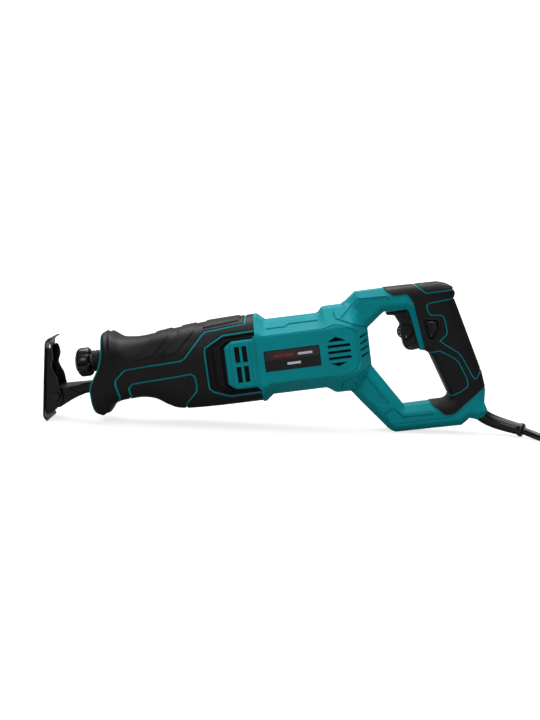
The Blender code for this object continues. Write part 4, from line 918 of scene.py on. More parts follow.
def nose_ring(station, shrink, ahead, count=72):
    """One ring round the nose, for lips and linings."""
    angles = np.linspace(-top_edge, top_edge, count // 2 + 1)
    left = nose_place(np.column_stack((np.full(len(angles), station), angles)), shrink)
    right_side = (left * (1, -1, 1))[1:-1][::-1]
    ring_points = np.vstack((left, right_side)) - (ahead, 0, 0)
    return [Vector(p) for p in ring_points]


LIP = ((0.0, 0.0), (0.25, 0.7), (0.9, 1.3), (1.9, 1.3), (2.6, 0.6), (3.0, -2.5), (4.2, -7.0),
       (6.5, -12.0))  # how far the ring is shrunk, and how far ahead it stands
rings = [nose_ring(NOSE_FRONT, shrink, ahead) for shrink, ahead in LIP]
skin_rings(bm, rings, material=1, capped=False)
bmesh.ops.remove_doubles(bm, verts=bm.verts, dist=0.02)
bmesh.ops.recalc_face_normals(bm, faces=bm.faces)
set_on_bench(bm)
boot = piece("boot", bm, ["black_rubber", "teal_plastic", "deep_shadow"], "housing",
             stands_for=("nose_boot", "nose_sleeve"), smooth_angle=24)
print("boot", [round(v, 3) for v in boot.dimensions])

# %% [markdown]
# ## The housing
# Two mirrored clamshells of glass-filled nylon make the motor barrel and the D-shaped handle in one.
# Each is drawn flat from the side and lifted by a rule that says how far it stands out from the
# middle at every point: an eight-sided barrel with a front and a rear flange, and a handle with
# chamfered edges. Vents and panel lines are part of the same drawing.

# %% Shape the housing
HOUSING_OUTLINE = [
    (0.0, -44.7), (3.6, -44.7), (11.7, -38.9), (67.5, -39.0), (72.0, -41.4), (75.5, -44.4),
    (79.0, -45.5),
    (92.2, -45.7), (103.1, -60.5), (125.0, -88.5), (127.5, -91.8), (131.5, -95.6), (135.9, -97.6),
    (205.9, -99.1), (211.2, -95.8), (215.4, -92.6), (223.0, -95.3), (230.4, -93.1), (235.5, -87.6),
    (232.7, -77.8), (234.9, -64.0), (232.3, -43.9), (212.2, 33.7), (211.1, 36.8), (213.0, 42.2),
    (210.8, 49.1),
    (205.4, 52.8), (198.0, 54.9), (143.1, 56.0), (110.4, 56.0), (94.7, 43.8), (76.5, 43.8), (73.6, 43.2),
    (71.8, 41.4), (69.8, 38.8), (67.1, 37.5), (11.9, 37.8), (3.6, 44.9), (0.0, 44.9),
]
HAND_GAP = [
    (118.3, 17.6), (134.0, 29.8), (137.2, 31.9), (141.0, 31.8), (160.5, 31.4), (163.2, 29.8),
    (164.4, 26.0),
    (170.9, -13.2), (177.0, -14.5), (180.6, -17.4), (182.7, -21.1), (197.2, -64.6), (196.8, -67.8),
    (194.4, -70.0), (190.2, -71.3), (148.4, -71.3), (118.2, -23.4),
]
BARREL = np.array((  # along, side, height of the side flat, half width of the top flat, top, bottom
    (0.0, 39.3, 27.5, 21.0, 44.9, 44.7), (4.0, 39.3, 27.5, 21.0, 44.9, 44.7),
    (11.7, 37.5, 24.6, 18.0, 37.8, 38.9), (67.3, 37.5, 24.6, 18.0, 37.6, 39.0),
    (71.8, 38.2, 25.0, 18.0, 41.4, 41.4), (73.6, 38.4, 25.0, 18.2, 43.2, 43.2),
    (79.0, 38.6, 25.0, 18.5, 43.8, 45.5),
    (97.0, 38.6, 25.0, 18.5, 43.8, 45.7), (101.5, 37.0, 24.5, 17.0, 43.8, 45.6),
    (108.0, 27.5, 24.0, 14.0, 43.8, 45.5), (113.5, 17.8, 22.0, 10.0, 43.8, 45.5),
    (118.5, 10.0, 20.0, 4.0, 43.8, 45.5),
))
HANDLE_HALF, HANDLE_EDGE = 16.8, 10.0
BARREL_END, BARREL_REACH, HANDLE_START = 118.5, 45.8, 84
SOFTEN = 1.0  # how far two faces blend into each other


def soft_less(a, b, blend=SOFTEN):
    """The lesser of two heights, with the crease between them rounded."""
    share = np.clip(0.5 + (b - a) / (2 * blend), 0, 1)
    return b + (a - b) * share - blend * share * (1 - share)


def silhouette(points):
    """Distance to the nearest edge that shows as the outline from the side."""
    return np.minimum(distance_to(points, HOUSING_OUTLINE[1:-1]), distance_to(points, closed(HAND_GAP)))


def handle_half(points):
    return soft_less(np.full(len(points), HANDLE_HALF), HANDLE_EDGE + silhouette(points))


def barrel_half(points):
    along = np.clip(points[:, 0], 0, BARREL_END)
    side, flat, crown, top, bottom = (np.interp(along, BARREL[:, 0], column)
                                      for column in BARREL[:, 1:].T)
    high = np.where(points[:, 1] > 0, top, bottom)
    slope = (side - crown) / (high - flat)
    return soft_less(side, crown + (high - np.abs(points[:, 1])) * slope)


def housing_half(points):
    """How far the housing stands out from the middle."""
    barrel = np.where(points[:, 0] < BARREL_END, barrel_half(points), 0)
    barrel[np.abs(points[:, 1]) > BARREL_REACH] = 0
    handle = handle_half(points)
    handle[points[:, 0] < HANDLE_START] = 0
    return -soft_less(-barrel, -handle)


def lift_by(half):
    """A rule that lifts a flat side drawing to the left, as far as half says."""
    def place(flat):
        return np.column_stack((flat[:, 0], -half(flat), flat[:, 1]))

    def lift(flat):
        return place(flat), numeric_normals(place, flat, lambda p: np.tile((0, -1, 0), (len(p), 1)))
    return lift


def slot(x0, x1, z0, z1):
    """The outline of a vent or a bar."""
    return [(x0, z0), (x1, z0), (x1, z1), (x0, z1)]


HOUSING_FEATURES = [
    *[Panel(slot(73.0, 96.6, z, z + 3.1), 0.3, 5.0, floor=1) for z in (4.4, -1.8, -8.1)],
    Panel([(73.2, 10.6), (92.6, 10.6), (87.4, 13.6), (82.4, 15.8), (77.6, 13.6)], 0.3, 5.0, floor=1),
    Panel([(73.2, -11.2), (78.0, -13.3), (82.4, -15.4), (87.4, -13.5), (92.6, -11.2)], 0.3, 5.0,
          floor=1),
    *[Panel([(107.6, z), (111.5, z + 0.6), (117.3, z + 2.2), (117.3, z + 5.0), (111.5, z + 3.6),
             (107.6, z + 3.0)], 0.3, 2.6, floor=1) for z in (8.6, 2.0, -4.8, -11.6)],
    Groove([(83.6, 38.5), (84.4, 33.6), (98.0, 27.6), (117.2, 18.4)], 0.35, 0.6, 1.1),
    Groove([(83.4, -40.5), (85.4, -34.6), (100.0, -29.6), (117.0, -23.4)], 0.35, 0.6, 1.1),
    *[Groove([(x0, z), (x1, z)], 0.3, 0.4, 0.8) for x0, x1, z in ((10.5, 68.5, 25.0), (10.4, 68.5, -24.8))],
    Panel([(89.6, 33.4), (110.6, 50.0), (142.2, 49.0), (144.2, 45.4), (142.6, 44.0), (117.0, 43.9),
           (99.6, 29.6)], 0.6, 1.2),
    Panel([(95.0, -35.6), (110.0, -30.4), (131.6, -64.5), (129.0, -67.0), (121.6, -66.5)], 0.7, 1.2),
    Groove([(126.0, -76.0), (130.4, -72.6), (137.1, -72.0), (144.6, -81.7), (176.0, -82.4)], 0.4, 0.6, 1.2),
    Groove([(137.0, -88.4), (196.0, -88.6), (206.0, -82.0)], 0.35, 0.6, 0.7),
    Groove([(12.6, 31.3), (32.2, 31.3), (36.3, 33.4), (66.0, 33.4)], 0.35, 0.5, 1.0),
    Groove([(70.0, 24.6), (76.0, 26.0), (82.3, 27.6), (91.5, 25.4), (103.0, 19.5), (105.4, 15.5),
            (105.4, -15.0), (103.0, -19.4), (91.5, -25.0), (82.3, -27.4), (76.0, -26.2), (70.0, -25.0)],
           0.35, 0.75, 0.95),
    Panel([(6.6, 9.2), (7.6, 10.2), (64.1, 10.2), (65.1, 9.2), (65.1, -11.1), (64.1, -12.1),
           (7.6, -12.1), (6.6, -11.1)], 0.25, -0.3, floor=2),
    Panel([(8.0, 8.6), (63.8, 8.6), (63.8, -0.6), (8.0, -0.6)], 0.1, -0.05, floor=3),
    *[Panel(slot(x0, x1, z - 1.3, z + 1.3), 0.08, -0.1, floor=4 if x0 > 38 or z < 0 else 5)
      for x0, x1, z in ((17.0, 25.6, 3.4), (27.0, 37.4, 3.4), (42.0, 57.0, 3.4), (30.0, 44.0, -5.6))],
]


def rim_points(lines, steps, spacing):
    """Extra points just inside some lines, close together where a skin curves most."""
    found = []
    for line in lines:
        for step in steps:
            for by in (step, -step):
                found += divide(offset(line, by), spacing)
    return found


OPENING_HALF, OPENING_DEEP = 8.6, 9.0  # the mouth that the trigger slides into
MOUTH_X, MOUTH_Z = (162.0, 171.6), (-13.6, 29.0)
MOUTH_AT, MOUTH_SLOPE, MOUTH_NEAR = (166.0, 16.0), -0.156, 2.0


def in_trigger_mouth(co):
    edge_x = MOUTH_AT[0] + MOUTH_SLOPE * (co.z - MOUTH_AT[1])
    return (MOUTH_X[0] < co.x < MOUTH_X[1] and MOUTH_Z[0] < co.z < MOUTH_Z[1]
            and abs(co.x - edge_x) < MOUTH_NEAR)


def bridge_edges(bm, on_edge, steps=6, mouth=None):
    """Joins the left skin to its mirror image along the edges whose ends pass a test.

    Where the edge runs along a mouth, the band stops at its sides and turns in.
    """
    spans, mouths = {}, {}

    def jamb(vert):
        if vert not in mouths:
            x, y, z = vert.co
            mouths[vert] = [vert, *(bm.verts.new(p) for p in (
                (x, -OPENING_HALF, z), (x + OPENING_DEEP, -OPENING_HALF, z), (x, -y, z),
                (x, OPENING_HALF, z), (x + OPENING_DEEP, OPENING_HALF, z)))]
        return mouths[vert]

    def span(vert):
        if vert not in spans:
            x, y, z = vert.co
            spans[vert] = [vert, *(bm.verts.new((x, y * (1 - 2 * i / steps), z))
                                   for i in range(1, steps + 1))]
        return spans[vert]

    for edge in [e for e in bm.edges if len(e.link_faces) == 1]:
        a, b = edge.verts
        if mouth and mouth(a.co) and mouth(b.co):
            for i, j in ((0, 1), (1, 2), (3, 4), (4, 5)):
                bm.faces.new((jamb(a)[i], jamb(b)[i], jamb(b)[j], jamb(a)[j]))
        elif on_edge(a.co) and on_edge(b.co) and a.co.y < 0 and b.co.y < 0:
            for i in range(steps):
                bm.faces.new((span(a)[i], span(b)[i], span(b)[i + 1], span(a)[i + 1]))


SEAM_DEEP = 2.6  # how far an edge that is a seam, not an outline, is turned in


def close_skin(name, features, outline, holes, half, spacing, material_names, stands_for,
               on_edge=lambda co: True, extra=(), smooth_angle=26, body="housing", right_features=None,
               mouth=None):
    """A whole two-sided piece: the left skin, the right one, and the band between them."""
    points, faces, material = draw_skin(outline, features, spacing, lift_by(half), holes, extra)
    bm = bmesh.new()
    add_skin(bm, points, faces, material)
    bridge_edges(bm, on_edge, mouth=mouth)
    if right_features is not None:
        points, faces, material = draw_skin(outline, right_features, spacing, lift_by(half), holes,
                                            extra)
    add_skin(bm, points, faces, material, mirror=True)
    bmesh.ops.remove_doubles(bm, verts=bm.verts, dist=0.01)
    seam = [e for e in bm.edges if len(e.link_faces) == 1 and not on_edge(e.verts[0].co)]
    for vert in bmesh.ops.extrude_edge_only(bm, edges=seam)["geom"]:
        if isinstance(vert, bmesh.types.BMVert):
            vert.co.y -= math.copysign(min(SEAM_DEEP, abs(vert.co.y)), vert.co.y)
    bmesh.ops.recalc_face_normals(bm, faces=bm.faces)
    print(name, len(bm.faces), "faces")
    set_on_bench(bm)
    return piece(name, bm, material_names, body, stands_for=stands_for, smooth_angle=smooth_angle)


SCREW_SPOTS = ((112.0, 45.0), (109.0, -52.0), (137.0, -84.0), (170.0, -85.0))
WELL_R, WELL_DEEP = 3.9, 7.4


def circle(centre, radius, count=20):
    return [(centre[0] + radius * math.cos(i / count * 2 * math.pi),
             centre[1] + radius * math.sin(i / count * 2 * math.pi)) for i in range(count)]


LOCK_HOLE = [(175.6, 22.4), (193.4, 20.2), (195.8, 17.2), (194.6, 6.2), (192.6, 3.2), (185.8, -3.4),
             (181.4, -4.2), (178.4, -1.6)]
lock_hole = Panel(LOCK_HOLE, 0.3, 6.3, floor=1)
screw_wells = [Panel(circle(spot, WELL_R), 0.3, WELL_DEEP, floor=1) for spot in SCREW_SPOTS]
edge_lines = [closed(HOUSING_OUTLINE), closed(HAND_GAP)]
housing = close_skin(
    "housing_shell", [*HOUSING_FEATURES, lock_hole], HOUSING_OUTLINE, [HAND_GAP], housing_half, 3.2,
    ["teal_plastic", "deep_shadow", "dark_label", "grey_label", "pale_print", "red_print"],
    ("housing_left", "housing_right"), extra=rim_points(edge_lines, (1.2, 3.6, 6.2, 7.4), 2.6),
    right_features=HOUSING_FEATURES + screw_wells, mouth=in_trigger_mouth)

# %% [markdown]
# The front of each clamshell ends in a tongue that reaches forward into the boot. It has the fan's
# outlet: four openings, two above two.

# %% Add the tongues
TONGUE = [(-33.0, 17.6), (-31.6, 19.6), (-26.4, 23.2), (-24.0, 24.1), (-3.6, 24.3), (2.6, 30.6), (3.4, 30.6),
          (3.4, -32.6), (2.6, -32.6), (-3.8, -26.4), (-24.2, -26.2), (-26.8, -25.2), (-31.8, -21.4),
          (-33.2, -19.2)]
TONGUE_HALF, TONGUE_EDGE, TONGUE_DEEP = 37.6, 1.8, 5.0
TONGUE_SIDES = (TONGUE[:5], TONGUE[4:7], TONGUE[7:10], closed(TONGUE)[9:])  # all but the rear edge


def tongue_half(points):
    edge = np.min([distance_to(points, run) for run in TONGUE_SIDES], axis=0)
    return soft_less(np.full(len(points), TONGUE_HALF), TONGUE_HALF - TONGUE_EDGE + edge, 0.5)


tongue_features = [
    *[Panel(slot(x, x + 5.2, z0, z1), 0.35, 4.4, floor=1)
      for x in (-22.9, -15.2) for z0, z1 in ((0.9, 18.0), (-20.2, -2.7))],
    Groove([(-36.0, -1.0), (-28.0, -1.0)], 0.3, 0.4, 0.5),
    Groove([(-27.6, -24.0), (-27.6, 21.0)], 0.3, 0.45, 0.5),
    Groove([(-6.8, -26.0), (-6.8, 24.0)], 0.3, 0.45, 0.5),
]
points, faces, material = draw_skin(TONGUE, tongue_features, 2.0, lift_by(tongue_half), (),
                                    rim_points([closed(TONGUE)], (0.9, 1.8), 1.6))
bm = bmesh.new()
add_skin(bm, points, faces, material)
rim = [e for e in bm.edges if len(e.link_faces) == 1]
walls = bmesh.ops.extrude_edge_only(bm, edges=rim)["geom"]
for vert in [v for v in walls if isinstance(v, bmesh.types.BMVert)]:
    vert.co.y += TONGUE_DEEP
mirror = bmesh.ops.duplicate(bm, geom=bm.verts[:] + bm.edges[:] + bm.faces[:])["geom"]
for vert in [v for v in mirror if isinstance(v, bmesh.types.BMVert)]:
    vert.co.y = -vert.co.y
bmesh.ops.reverse_faces(bm, faces=[f for f in mirror if isinstance(f, bmesh.types.BMFace)])
bmesh.ops.recalc_face_normals(bm, faces=bm.faces)
set_on_bench(bm)
tongues = piece("fan_outlets", bm, ["teal_plastic", "deep_shadow"], "housing")
print("tongues", len(tongues.data.polygons), "faces")

# %% [markdown]
# ## The soft grip
# The handle wears a skin of black rubber, moulded over the nylon so that it stands a little proud.
# It carries the same thin teal lines as the boot, and a raised frame round the lock's well.

# %% Mould the grip
GRIP_OUTLINE = [
    (141.6, 56.0), (198.0, 54.9), (205.4, 52.8), (210.8, 49.1), (213.0, 42.2), (211.1, 36.8),
    (212.2, 33.7),
    (232.3, -43.9), (234.4, -60.0), (231.6, -60.0), (198.8, -83.4), (196.4, -84.2), (190.0, -84.0),
    (187.5, -82.6), (177.4, -71.3), (190.2, -71.3), (194.4, -70.0), (196.8, -67.8), (197.2, -64.6),
    (182.7, -21.1), (180.6, -17.4), (177.0, -14.5), (175.9, -13.6), (168.9, 38.2), (167.6, 41.2),
    (163.6, 47.6),
    (161.6, 48.7), (148.4, 48.7),
]
GRIP_PROUD, GRIP_SKIN = 1.1, 0.6  # how far it stands out at the sides, and round the outline
GRIP_BULGE, GRIP_ROUND, GRIP_EDGE_IN = 8.0, 11.0, 1.2


def from_skin_edge(points):
    """Distance in from the grip's own outline, which runs outside the housing's."""
    solid = inside(points, HOUSING_OUTLINE) & ~inside(points, HAND_GAP)
    return np.where(solid, 1, -1) * silhouette(points) + GRIP_SKIN


def grip_half(points):
    reach = np.clip(from_skin_edge(points), 0, GRIP_ROUND) / GRIP_ROUND
    swell = np.sqrt(np.clip(1 - (1 - reach) ** 2, 0, 1))
    return HANDLE_EDGE - GRIP_EDGE_IN + GRIP_PROUD + GRIP_BULGE * swell


GRIP_LINES = (
    [(171.0, 60.0), (173.4, 56.0), (179.8, 49.2), (183.0, 46.4), (207.0, 46.6), (214.0, 46.6)],
    [(216.0, 37.4), (209.1, 37.2), (184.6, 35.6), (182.0, 34.2), (181.7, 31.5), (183.0, 25.6), (185.2, 22.9),
     (195.2, 21.7), (198.2, 19.2), (199.2, 15.0), (200.1, 3.1), (198.9, 0.0), (191.4, -5.4),
     (209.5, -20.2),
     (212.8, -25.5), (221.7, -46.9), (224.0, -49.9), (226.2, -49.6), (229.0, -45.8), (233.0, -40.0)],
    [(176.0, -17.4), (180.1, -17.1), (190.6, -15.8), (204.4, -25.0), (208.7, -29.8), (215.4, -47.9),
     (216.2, -55.5), (214.0, -58.4), (207.4, -61.9), (199.0, -65.2), (194.0, -64.8)],
)
LOCK_FRAME = [(176.6, 21.3), (192.6, 18.9), (194.6, 16.8), (193.4, 6.6), (191.8, 4.0), (185.2, -2.4),
              (181.6, -3.0), (179.6, -1.0)]
LOCK_WELL = [(178.2, 17.8), (179.6, 18.6), (189.8, 17.2), (191.2, 15.6), (191.4, 8.3), (190.2, 6.2),
             (185.0, -1.0), (182.2, -1.5), (179.5, 0.2)]
grip_features = [
    *[Groove(line, 0.55, 0.45, 0.8, floor=1) for line in GRIP_LINES],
    Panel(LOCK_FRAME, 0.7, -1.2),
    Panel(LOCK_WELL, 0.12, 9.0, floor=2),
]
grip_rim = rim_points(edge_lines, (0.35, 1.0, 2.0, 3.4, 5.2, 7.6), 2.4)


def on_silhouette(co):
    return bool(abs(from_skin_edge(np.array(((co.x, co.z),)))[0]) < 0.25)


grip_outside = max((offset(GRIP_OUTLINE, by, loop=True) for by in (GRIP_SKIN, -GRIP_SKIN)),
                   key=lambda ring: abs(twice_area(ring)))
grip = close_skin("grip_skin", grip_features, grip_outside, [], grip_half, 2.5,
                  ["black_rubber", "teal_plastic", "deep_shadow"], ("grip_left", "grip_right"),
                  on_silhouette, grip_rim, smooth_angle=30, right_features=grip_features[:len(GRIP_LINES)])

# %% [markdown]
# ## Trigger, speed dial and lock
# The trigger is a glossy moulding with a hook at its top. A thumb wheel with numbers sets the speed:
# it stands in a hollow of the trigger and moves in with it. The lock is a small sprung pad in a frame
# on the left side of the grip. Each is its own piece, because each moves on its own.

# %% Mould the trigger
TRIGGER_OUTLINE = [
    (140.2, 29.4), (140.4, 27.9), (141.4, 27.3), (145.4, 26.9), (148.2, 26.1), (149.8, 24.0),
    (151.3, 20.4),
    (152.8, 17.8), (153.2, 16.4), (153.2, 2.2), (154.0, -1.0), (154.2, -4.6), (155.2, -8.2),
    (156.8, -10.6),
    (158.8, -12.0), (163.5, -12.9), (169.4, -12.2), (170.4, -9.8), (176.0, -9.4), (173.0, 28.6),
    (161.6, 30.6),
    (146.0, 30.6), (141.4, 30.3),
]
TRIGGER_HALF, TRIGGER_ROUND = 8.0, 2.0
DIAL_CENTRE, DIAL_R, DIAL_HALF = (157.8, 7.8), 8.5, 2.7
HOLLOW_R, HOLLOW_STARTS = 9.3, 154.6  # the hollow that the dial stands in


def trigger_half(points):
    return TRIGGER_HALF - round_off(distance_to(points, closed(TRIGGER_OUTLINE)), TRIGGER_ROUND)


trigger_features = [
    Panel([(x, z) for x, z in circle(DIAL_CENTRE, HOLLOW_R, 28) if x > HOLLOW_STARTS], 0.5, 5.6),
    Groove([(157.4, 27.4), (159.4, 21.6), (167.6, 20.2), (168.8, 4.0), (166.6, -6.6), (159.8, -8.8),
            (157.0, -6.4)], 0.3, 0.6, 0.5),
]
trigger = close_skin("trigger_lever", trigger_features, TRIGGER_OUTLINE, [], trigger_half, 1.8,
                     ["black_plastic"], ("trigger",), smooth_angle=35, body="trigger",
                     extra=rim_points([closed(TRIGGER_OUTLINE)], (0.15, 0.6, 1.3, 2.1), 1.4))

# %% Cut the dial
DIAL_RIBS, RIB_PROFILE, DIAL_EDGE = 26, (0.0, 0.0, 0.6, 0.6), 1.2


def dial_rim():
    """The ribbed outline of the thumb wheel."""
    outline, count = [], DIAL_RIBS * len(RIB_PROFILE)
    for i in range(count):
        radius, turn = DIAL_R - RIB_PROFILE[i % len(RIB_PROFILE)], 2 * math.pi * i / count
        outline.append((DIAL_CENTRE[0] + radius * math.cos(turn),
                        DIAL_CENTRE[1] + radius * math.sin(turn)))
    return outline


def dial_half(points):
    away = np.hypot(points[:, 0] - DIAL_CENTRE[0], points[:, 1] - DIAL_CENTRE[1])
    return DIAL_HALF - 0.5 * np.clip(away - DIAL_R + DIAL_EDGE, 0, DIAL_EDGE) ** 2


dial_features = [
    Groove(closed(circle(DIAL_CENTRE, 4.0, 24)), 0.3, 0.3, 0.5),
    Panel(circle(DIAL_CENTRE, 1.6, 16), 0.2, 0.5),
]
dial = close_skin("speed_wheel", dial_features, dial_rim(), [], dial_half, 1.4, ["black_plastic"],
                  ("speed_dial",), body="speed_dial")

# %% Print its numbers
NUMBERS, FIRST_NUMBER, NUMBER_STEP = 6, 118, 32  # how many, and where they stand, in degrees
NUMBER_HIGH, NUMBER_THICK, NUMBER_R = 3.6, 0.04, 6.1
bm = bmesh.new()
for number in range(1, NUMBERS + 1):
    turn = math.radians(FIRST_NUMBER + NUMBER_STEP * (number - 1))
    text = bpy.data.curves.new(f"number_{number}", "FONT")
    text.body, text.size, text.extrude = str(number), NUMBER_HIGH, NUMBER_THICK
    text.align_x, text.align_y = "CENTER", "CENTER"
    writer = bpy.data.objects.new(f"number_{number}", text)
    bpy.context.collection.objects.link(writer)
    figure = writer.to_mesh()
    start = len(bm.verts)
    bm.from_mesh(figure)
    bm.verts.ensure_lookup_table()
    out = Vector((math.cos(turn), 0, math.sin(turn)))
    across = Vector((math.sin(turn), 0, -math.cos(turn)))
    face_middle = Vector((DIAL_CENTRE[0], -DIAL_HALF - NUMBER_THICK / 2, DIAL_CENTRE[1]))
    for vert in bm.verts[start:]:
        spot = face_middle + out * (NUMBER_R + vert.co.y)
        vert.co = spot + across * vert.co.x + Vector((0, vert.co.z, 0))
    writer.to_mesh_clear()
    bpy.data.objects.remove(writer)
bmesh.ops.recalc_face_normals(bm, faces=bm.faces)
set_on_bench(bm)
numbers = piece("dial_numbers", bm, ["pale_print"], "speed_dial", slot="white_plastic")
print("dial with", len(numbers.data.polygons), "faces of numbers")

# %% Press out the lock
LOCK_OUTLINE = [(178.9, 16.2), (179.6, 17.2), (189.0, 16.0), (190.0, 14.9), (190.4, 8.8), (189.8, 7.0),
                (184.9, 0.6), (183.6, -0.1), (182.0, 0.0), (180.4, 1.0)]
LOCK_MIDDLE, LOCK_HALF, LOCK_ROUND, DISH_IN = 16.7, 2.9, 0.9, 1.4
lock_dish = min((offset(LOCK_OUTLINE, by, loop=True) for by in (-DISH_IN, DISH_IN)),
                key=lambda ring: abs(twice_area(ring)))


def add_plate(bm, outline, features, middle, half, rounding, spacing, holes=(), lay=None):
    """A flat plate with rounded edges, its middle at a distance to the left of the mid-plane."""
    rings = [closed(ring) for ring in (outline, *holes)]
    lay = lay or (lambda flat, high: np.column_stack((flat[:, 0], -middle - high, flat[:, 1])))
    extra = rim_points(rings, (rounding * 0.12, rounding * 0.45, rounding), spacing * 0.8)

    def face_rule(side):
        def place(flat):
            away = np.min([distance_to(flat, ring) for ring in rings], axis=0)
            return lay(flat, side * (half - round_off(away, rounding)))

        def outward(flat):
            return side * (lay(flat, np.full(len(flat), 1.0)) - lay(flat, np.zeros(len(flat))))

        return lambda flat: (place(flat), numeric_normals(place, flat, outward))

    part = bmesh.new()
    for side in (1, -1):
        points, faces, material = draw_skin(outline, features if side > 0 else (), spacing,
                                            face_rule(side), holes, extra)
        add_skin(part, points, faces, material)
    bmesh.ops.remove_doubles(part, verts=part.verts, dist=0.004)
    edges = [e for e in part.edges if len(e.link_faces) == 1]
    bmesh.ops.bridge_loops(part, edges=edges) if not holes else band(part, edges, half * 2)
    bmesh.ops.recalc_face_normals(part, faces=part.faces)
    mesh = bpy.data.meshes.new("plate")
    part.to_mesh(mesh)
    part.free()
    bm.from_mesh(mesh)
    bpy.data.meshes.remove(mesh)


def band(part, edges, reach):
    """Joins each loop of open edges to its nearest partner on the other face."""
    verts = list({v for e in edges for v in e.verts})
    places = np.array([v.co for v in verts])
    side = np.array([min(f.index for f in v.link_faces) for v in verts])
    order = np.median(side)
    partner = {}
    for i, vert in enumerate(verts):
        others = np.where((side > order) != (side[i] > order))[0]
        best = others[np.argmin(((places[others] - places[i]) ** 2).sum(axis=1))]
        partner[vert] = verts[best]
    for edge in edges:
        a, b = edge.verts
        c, d = partner[b], partner[a]
        if edge.link_faces[0].index <= order and len({a, b, c, d}) == 4:
            if not part.faces.get((a, b, c, d)) and (a.co - d.co).length < reach * 1.4:
                part.faces.new((a, b, c, d))


bm = bmesh.new()
add_plate(bm, LOCK_OUTLINE, [Panel(lock_dish, 0.9, 0.7)], LOCK_MIDDLE, LOCK_HALF, LOCK_ROUND, 1.0)
set_on_bench(bm)
lock = piece("lock_pad", bm, ["black_plastic"], "lock_button", stands_for=("lock_button",))
print("lock", len(lock.data.polygons), "faces")

# %% [markdown]
# ## The keyless clamp
# A blade is pushed into the end of the plunger and held by a collar that is turned by hand, so the
# collar has broad lobes for the fingers. Behind it the ribbed nozzle of the gear case guides the
# plunger out. Both are turned shapes: rings of points whose distance from the axis is a rule.

# %% Turn the collar and the nozzle
PLUNGER_Z = 18.0
COLLAR_STATIONS = (  # along the tool, radius
    (-176.9, 8.4), (-176.8, 9.0), (-176.8, 11.6), (-177.1, 12.4), (-177.6, 13.4), (-178.4, 14.6),
    (-179.8, 15.4), (-181.4, 15.6), (-188.0, 15.6), (-189.6, 15.2), (-191.0, 14.0), (-192.0, 12.4),
    (-192.3, 11.0), (-192.2, 9.6), (-191.4, 9.5))
NOZZLE_STATIONS = ((-168.0, 8.4), (-175.4, 8.4), (-176.0, 9.0), (-176.0, 10.4), (-175.3, 11.3), (-173.4, 11.3),
                   (-172.8, 10.7), (-171.8, 10.7), (-171.2, 11.3), (-169.2, 11.3), (-168.6, 10.7),
                   (-167.6, 10.7), (-167.0, 11.3), (-160.0, 11.3), (-158.6, 11.6), (-150.0, 11.6))
LOBES, LOBE_ROOT, GROOVE_WIDE, GROOVE_CUT, LOBE_FLAT = 8, 12.3, 0.24, 0.95, 0.16 * 0.35


def lobed(turn, radius):
    """The collar's radius at an angle round it: grooves cut in between its lobes."""
    away = 1 - abs((turn * LOBES / (2 * math.pi)) % 1 - 0.5) * 2
    cut = GROOVE_CUT * math.exp(-(away / GROOVE_WIDE) ** 2) + LOBE_FLAT * away ** 2
    return radius - max(0, radius - LOBE_ROOT) * cut


def turned_rings(stations, rule, steps):
    turns = [2 * math.pi * i / steps for i in range(steps)]
    return [[(x, rule(turn, radius) * math.sin(turn), PLUNGER_Z + rule(turn, radius) * math.cos(turn))
             for turn in turns] for x, radius in stations]


for name, stations, rule, steps, material, body, stands_for in (
        ("collar", COLLAR_STATIONS, lobed, 96, "black_plastic", "clamp_collar", "clamp_collar"),
        ("nozzle", NOZZLE_STATIONS, lambda turn, radius: radius, 48, "black_rubber", "housing",
         "front_nozzle")):
    bm = bmesh.new()
    skin_rings(bm, turned_rings(stations, rule, steps), capped=False)
    bmesh.ops.recalc_face_normals(bm, faces=bm.faces)
    set_on_bench(bm)
    made = piece(name, bm, [material], body, slot="black_plastic", stands_for=(stands_for,),
                 smooth_angle=38)
    print(name, len(made.data.polygons), "faces")

# %% [markdown]
# ## The shoe
# The shoe is pressed from 2 mm steel: a face plate with a long slot for the blade, curled at both
# ends, and two scalloped cheeks that hang it on a pivot. The arm slides in and out of the gear case,
# so arm and shoe ride on two bodies. Plates are drawn flat, with their edges rounded as a press
# leaves them, and the face plate is then bent along its curve.

# %% Press the plate and its cheeks
SHEET, PRESS_ROUND = 2.0, 0.45
SHOE_CURVE = [(-211.9, 49.4), (-214.4, 49.0), (-216.8, 47.9), (-218.2, 46.4), (-218.9, 44.4), (-225.4, 10.0),
              (-232.2, -28.0), (-232.6, -30.2), (-232.3, -31.8), (-229.6, -36.8)]
SHOE_HALF, SHOE_CORNER, CHEEK_AT = 23.0, 3.2, 19.0
SLOT_HALF, SLOT_ENDS, SLOT_CORNER = 5.0, (11.5, 55.0), 4.2


def bend_along(curve):
    """Lays a flat drawing of (distance along, sideways) on a bent sheet."""
    knots = np.array(curve)
    runs = np.concatenate(([0], np.cumsum(np.hypot(*np.diff(knots, axis=0).T))))

    def at(run):
        return np.column_stack((np.interp(run, runs, knots[:, 0]), np.interp(run, runs, knots[:, 1])))

    def lay(flat, high):
        run = np.clip(flat[:, 0], 0, runs[-1])
        ahead = at(np.clip(run + 0.6, 0, runs[-1])) - at(np.clip(run - 0.6, 0, runs[-1]))
        ahead /= np.hypot(*ahead.T)[:, None]
        spot = at(run) + np.column_stack((ahead[:, 1], -ahead[:, 0])) * high[:, None]
        return np.column_stack((spot[:, 0], flat[:, 1], spot[:, 1]))
    return lay, runs[-1]


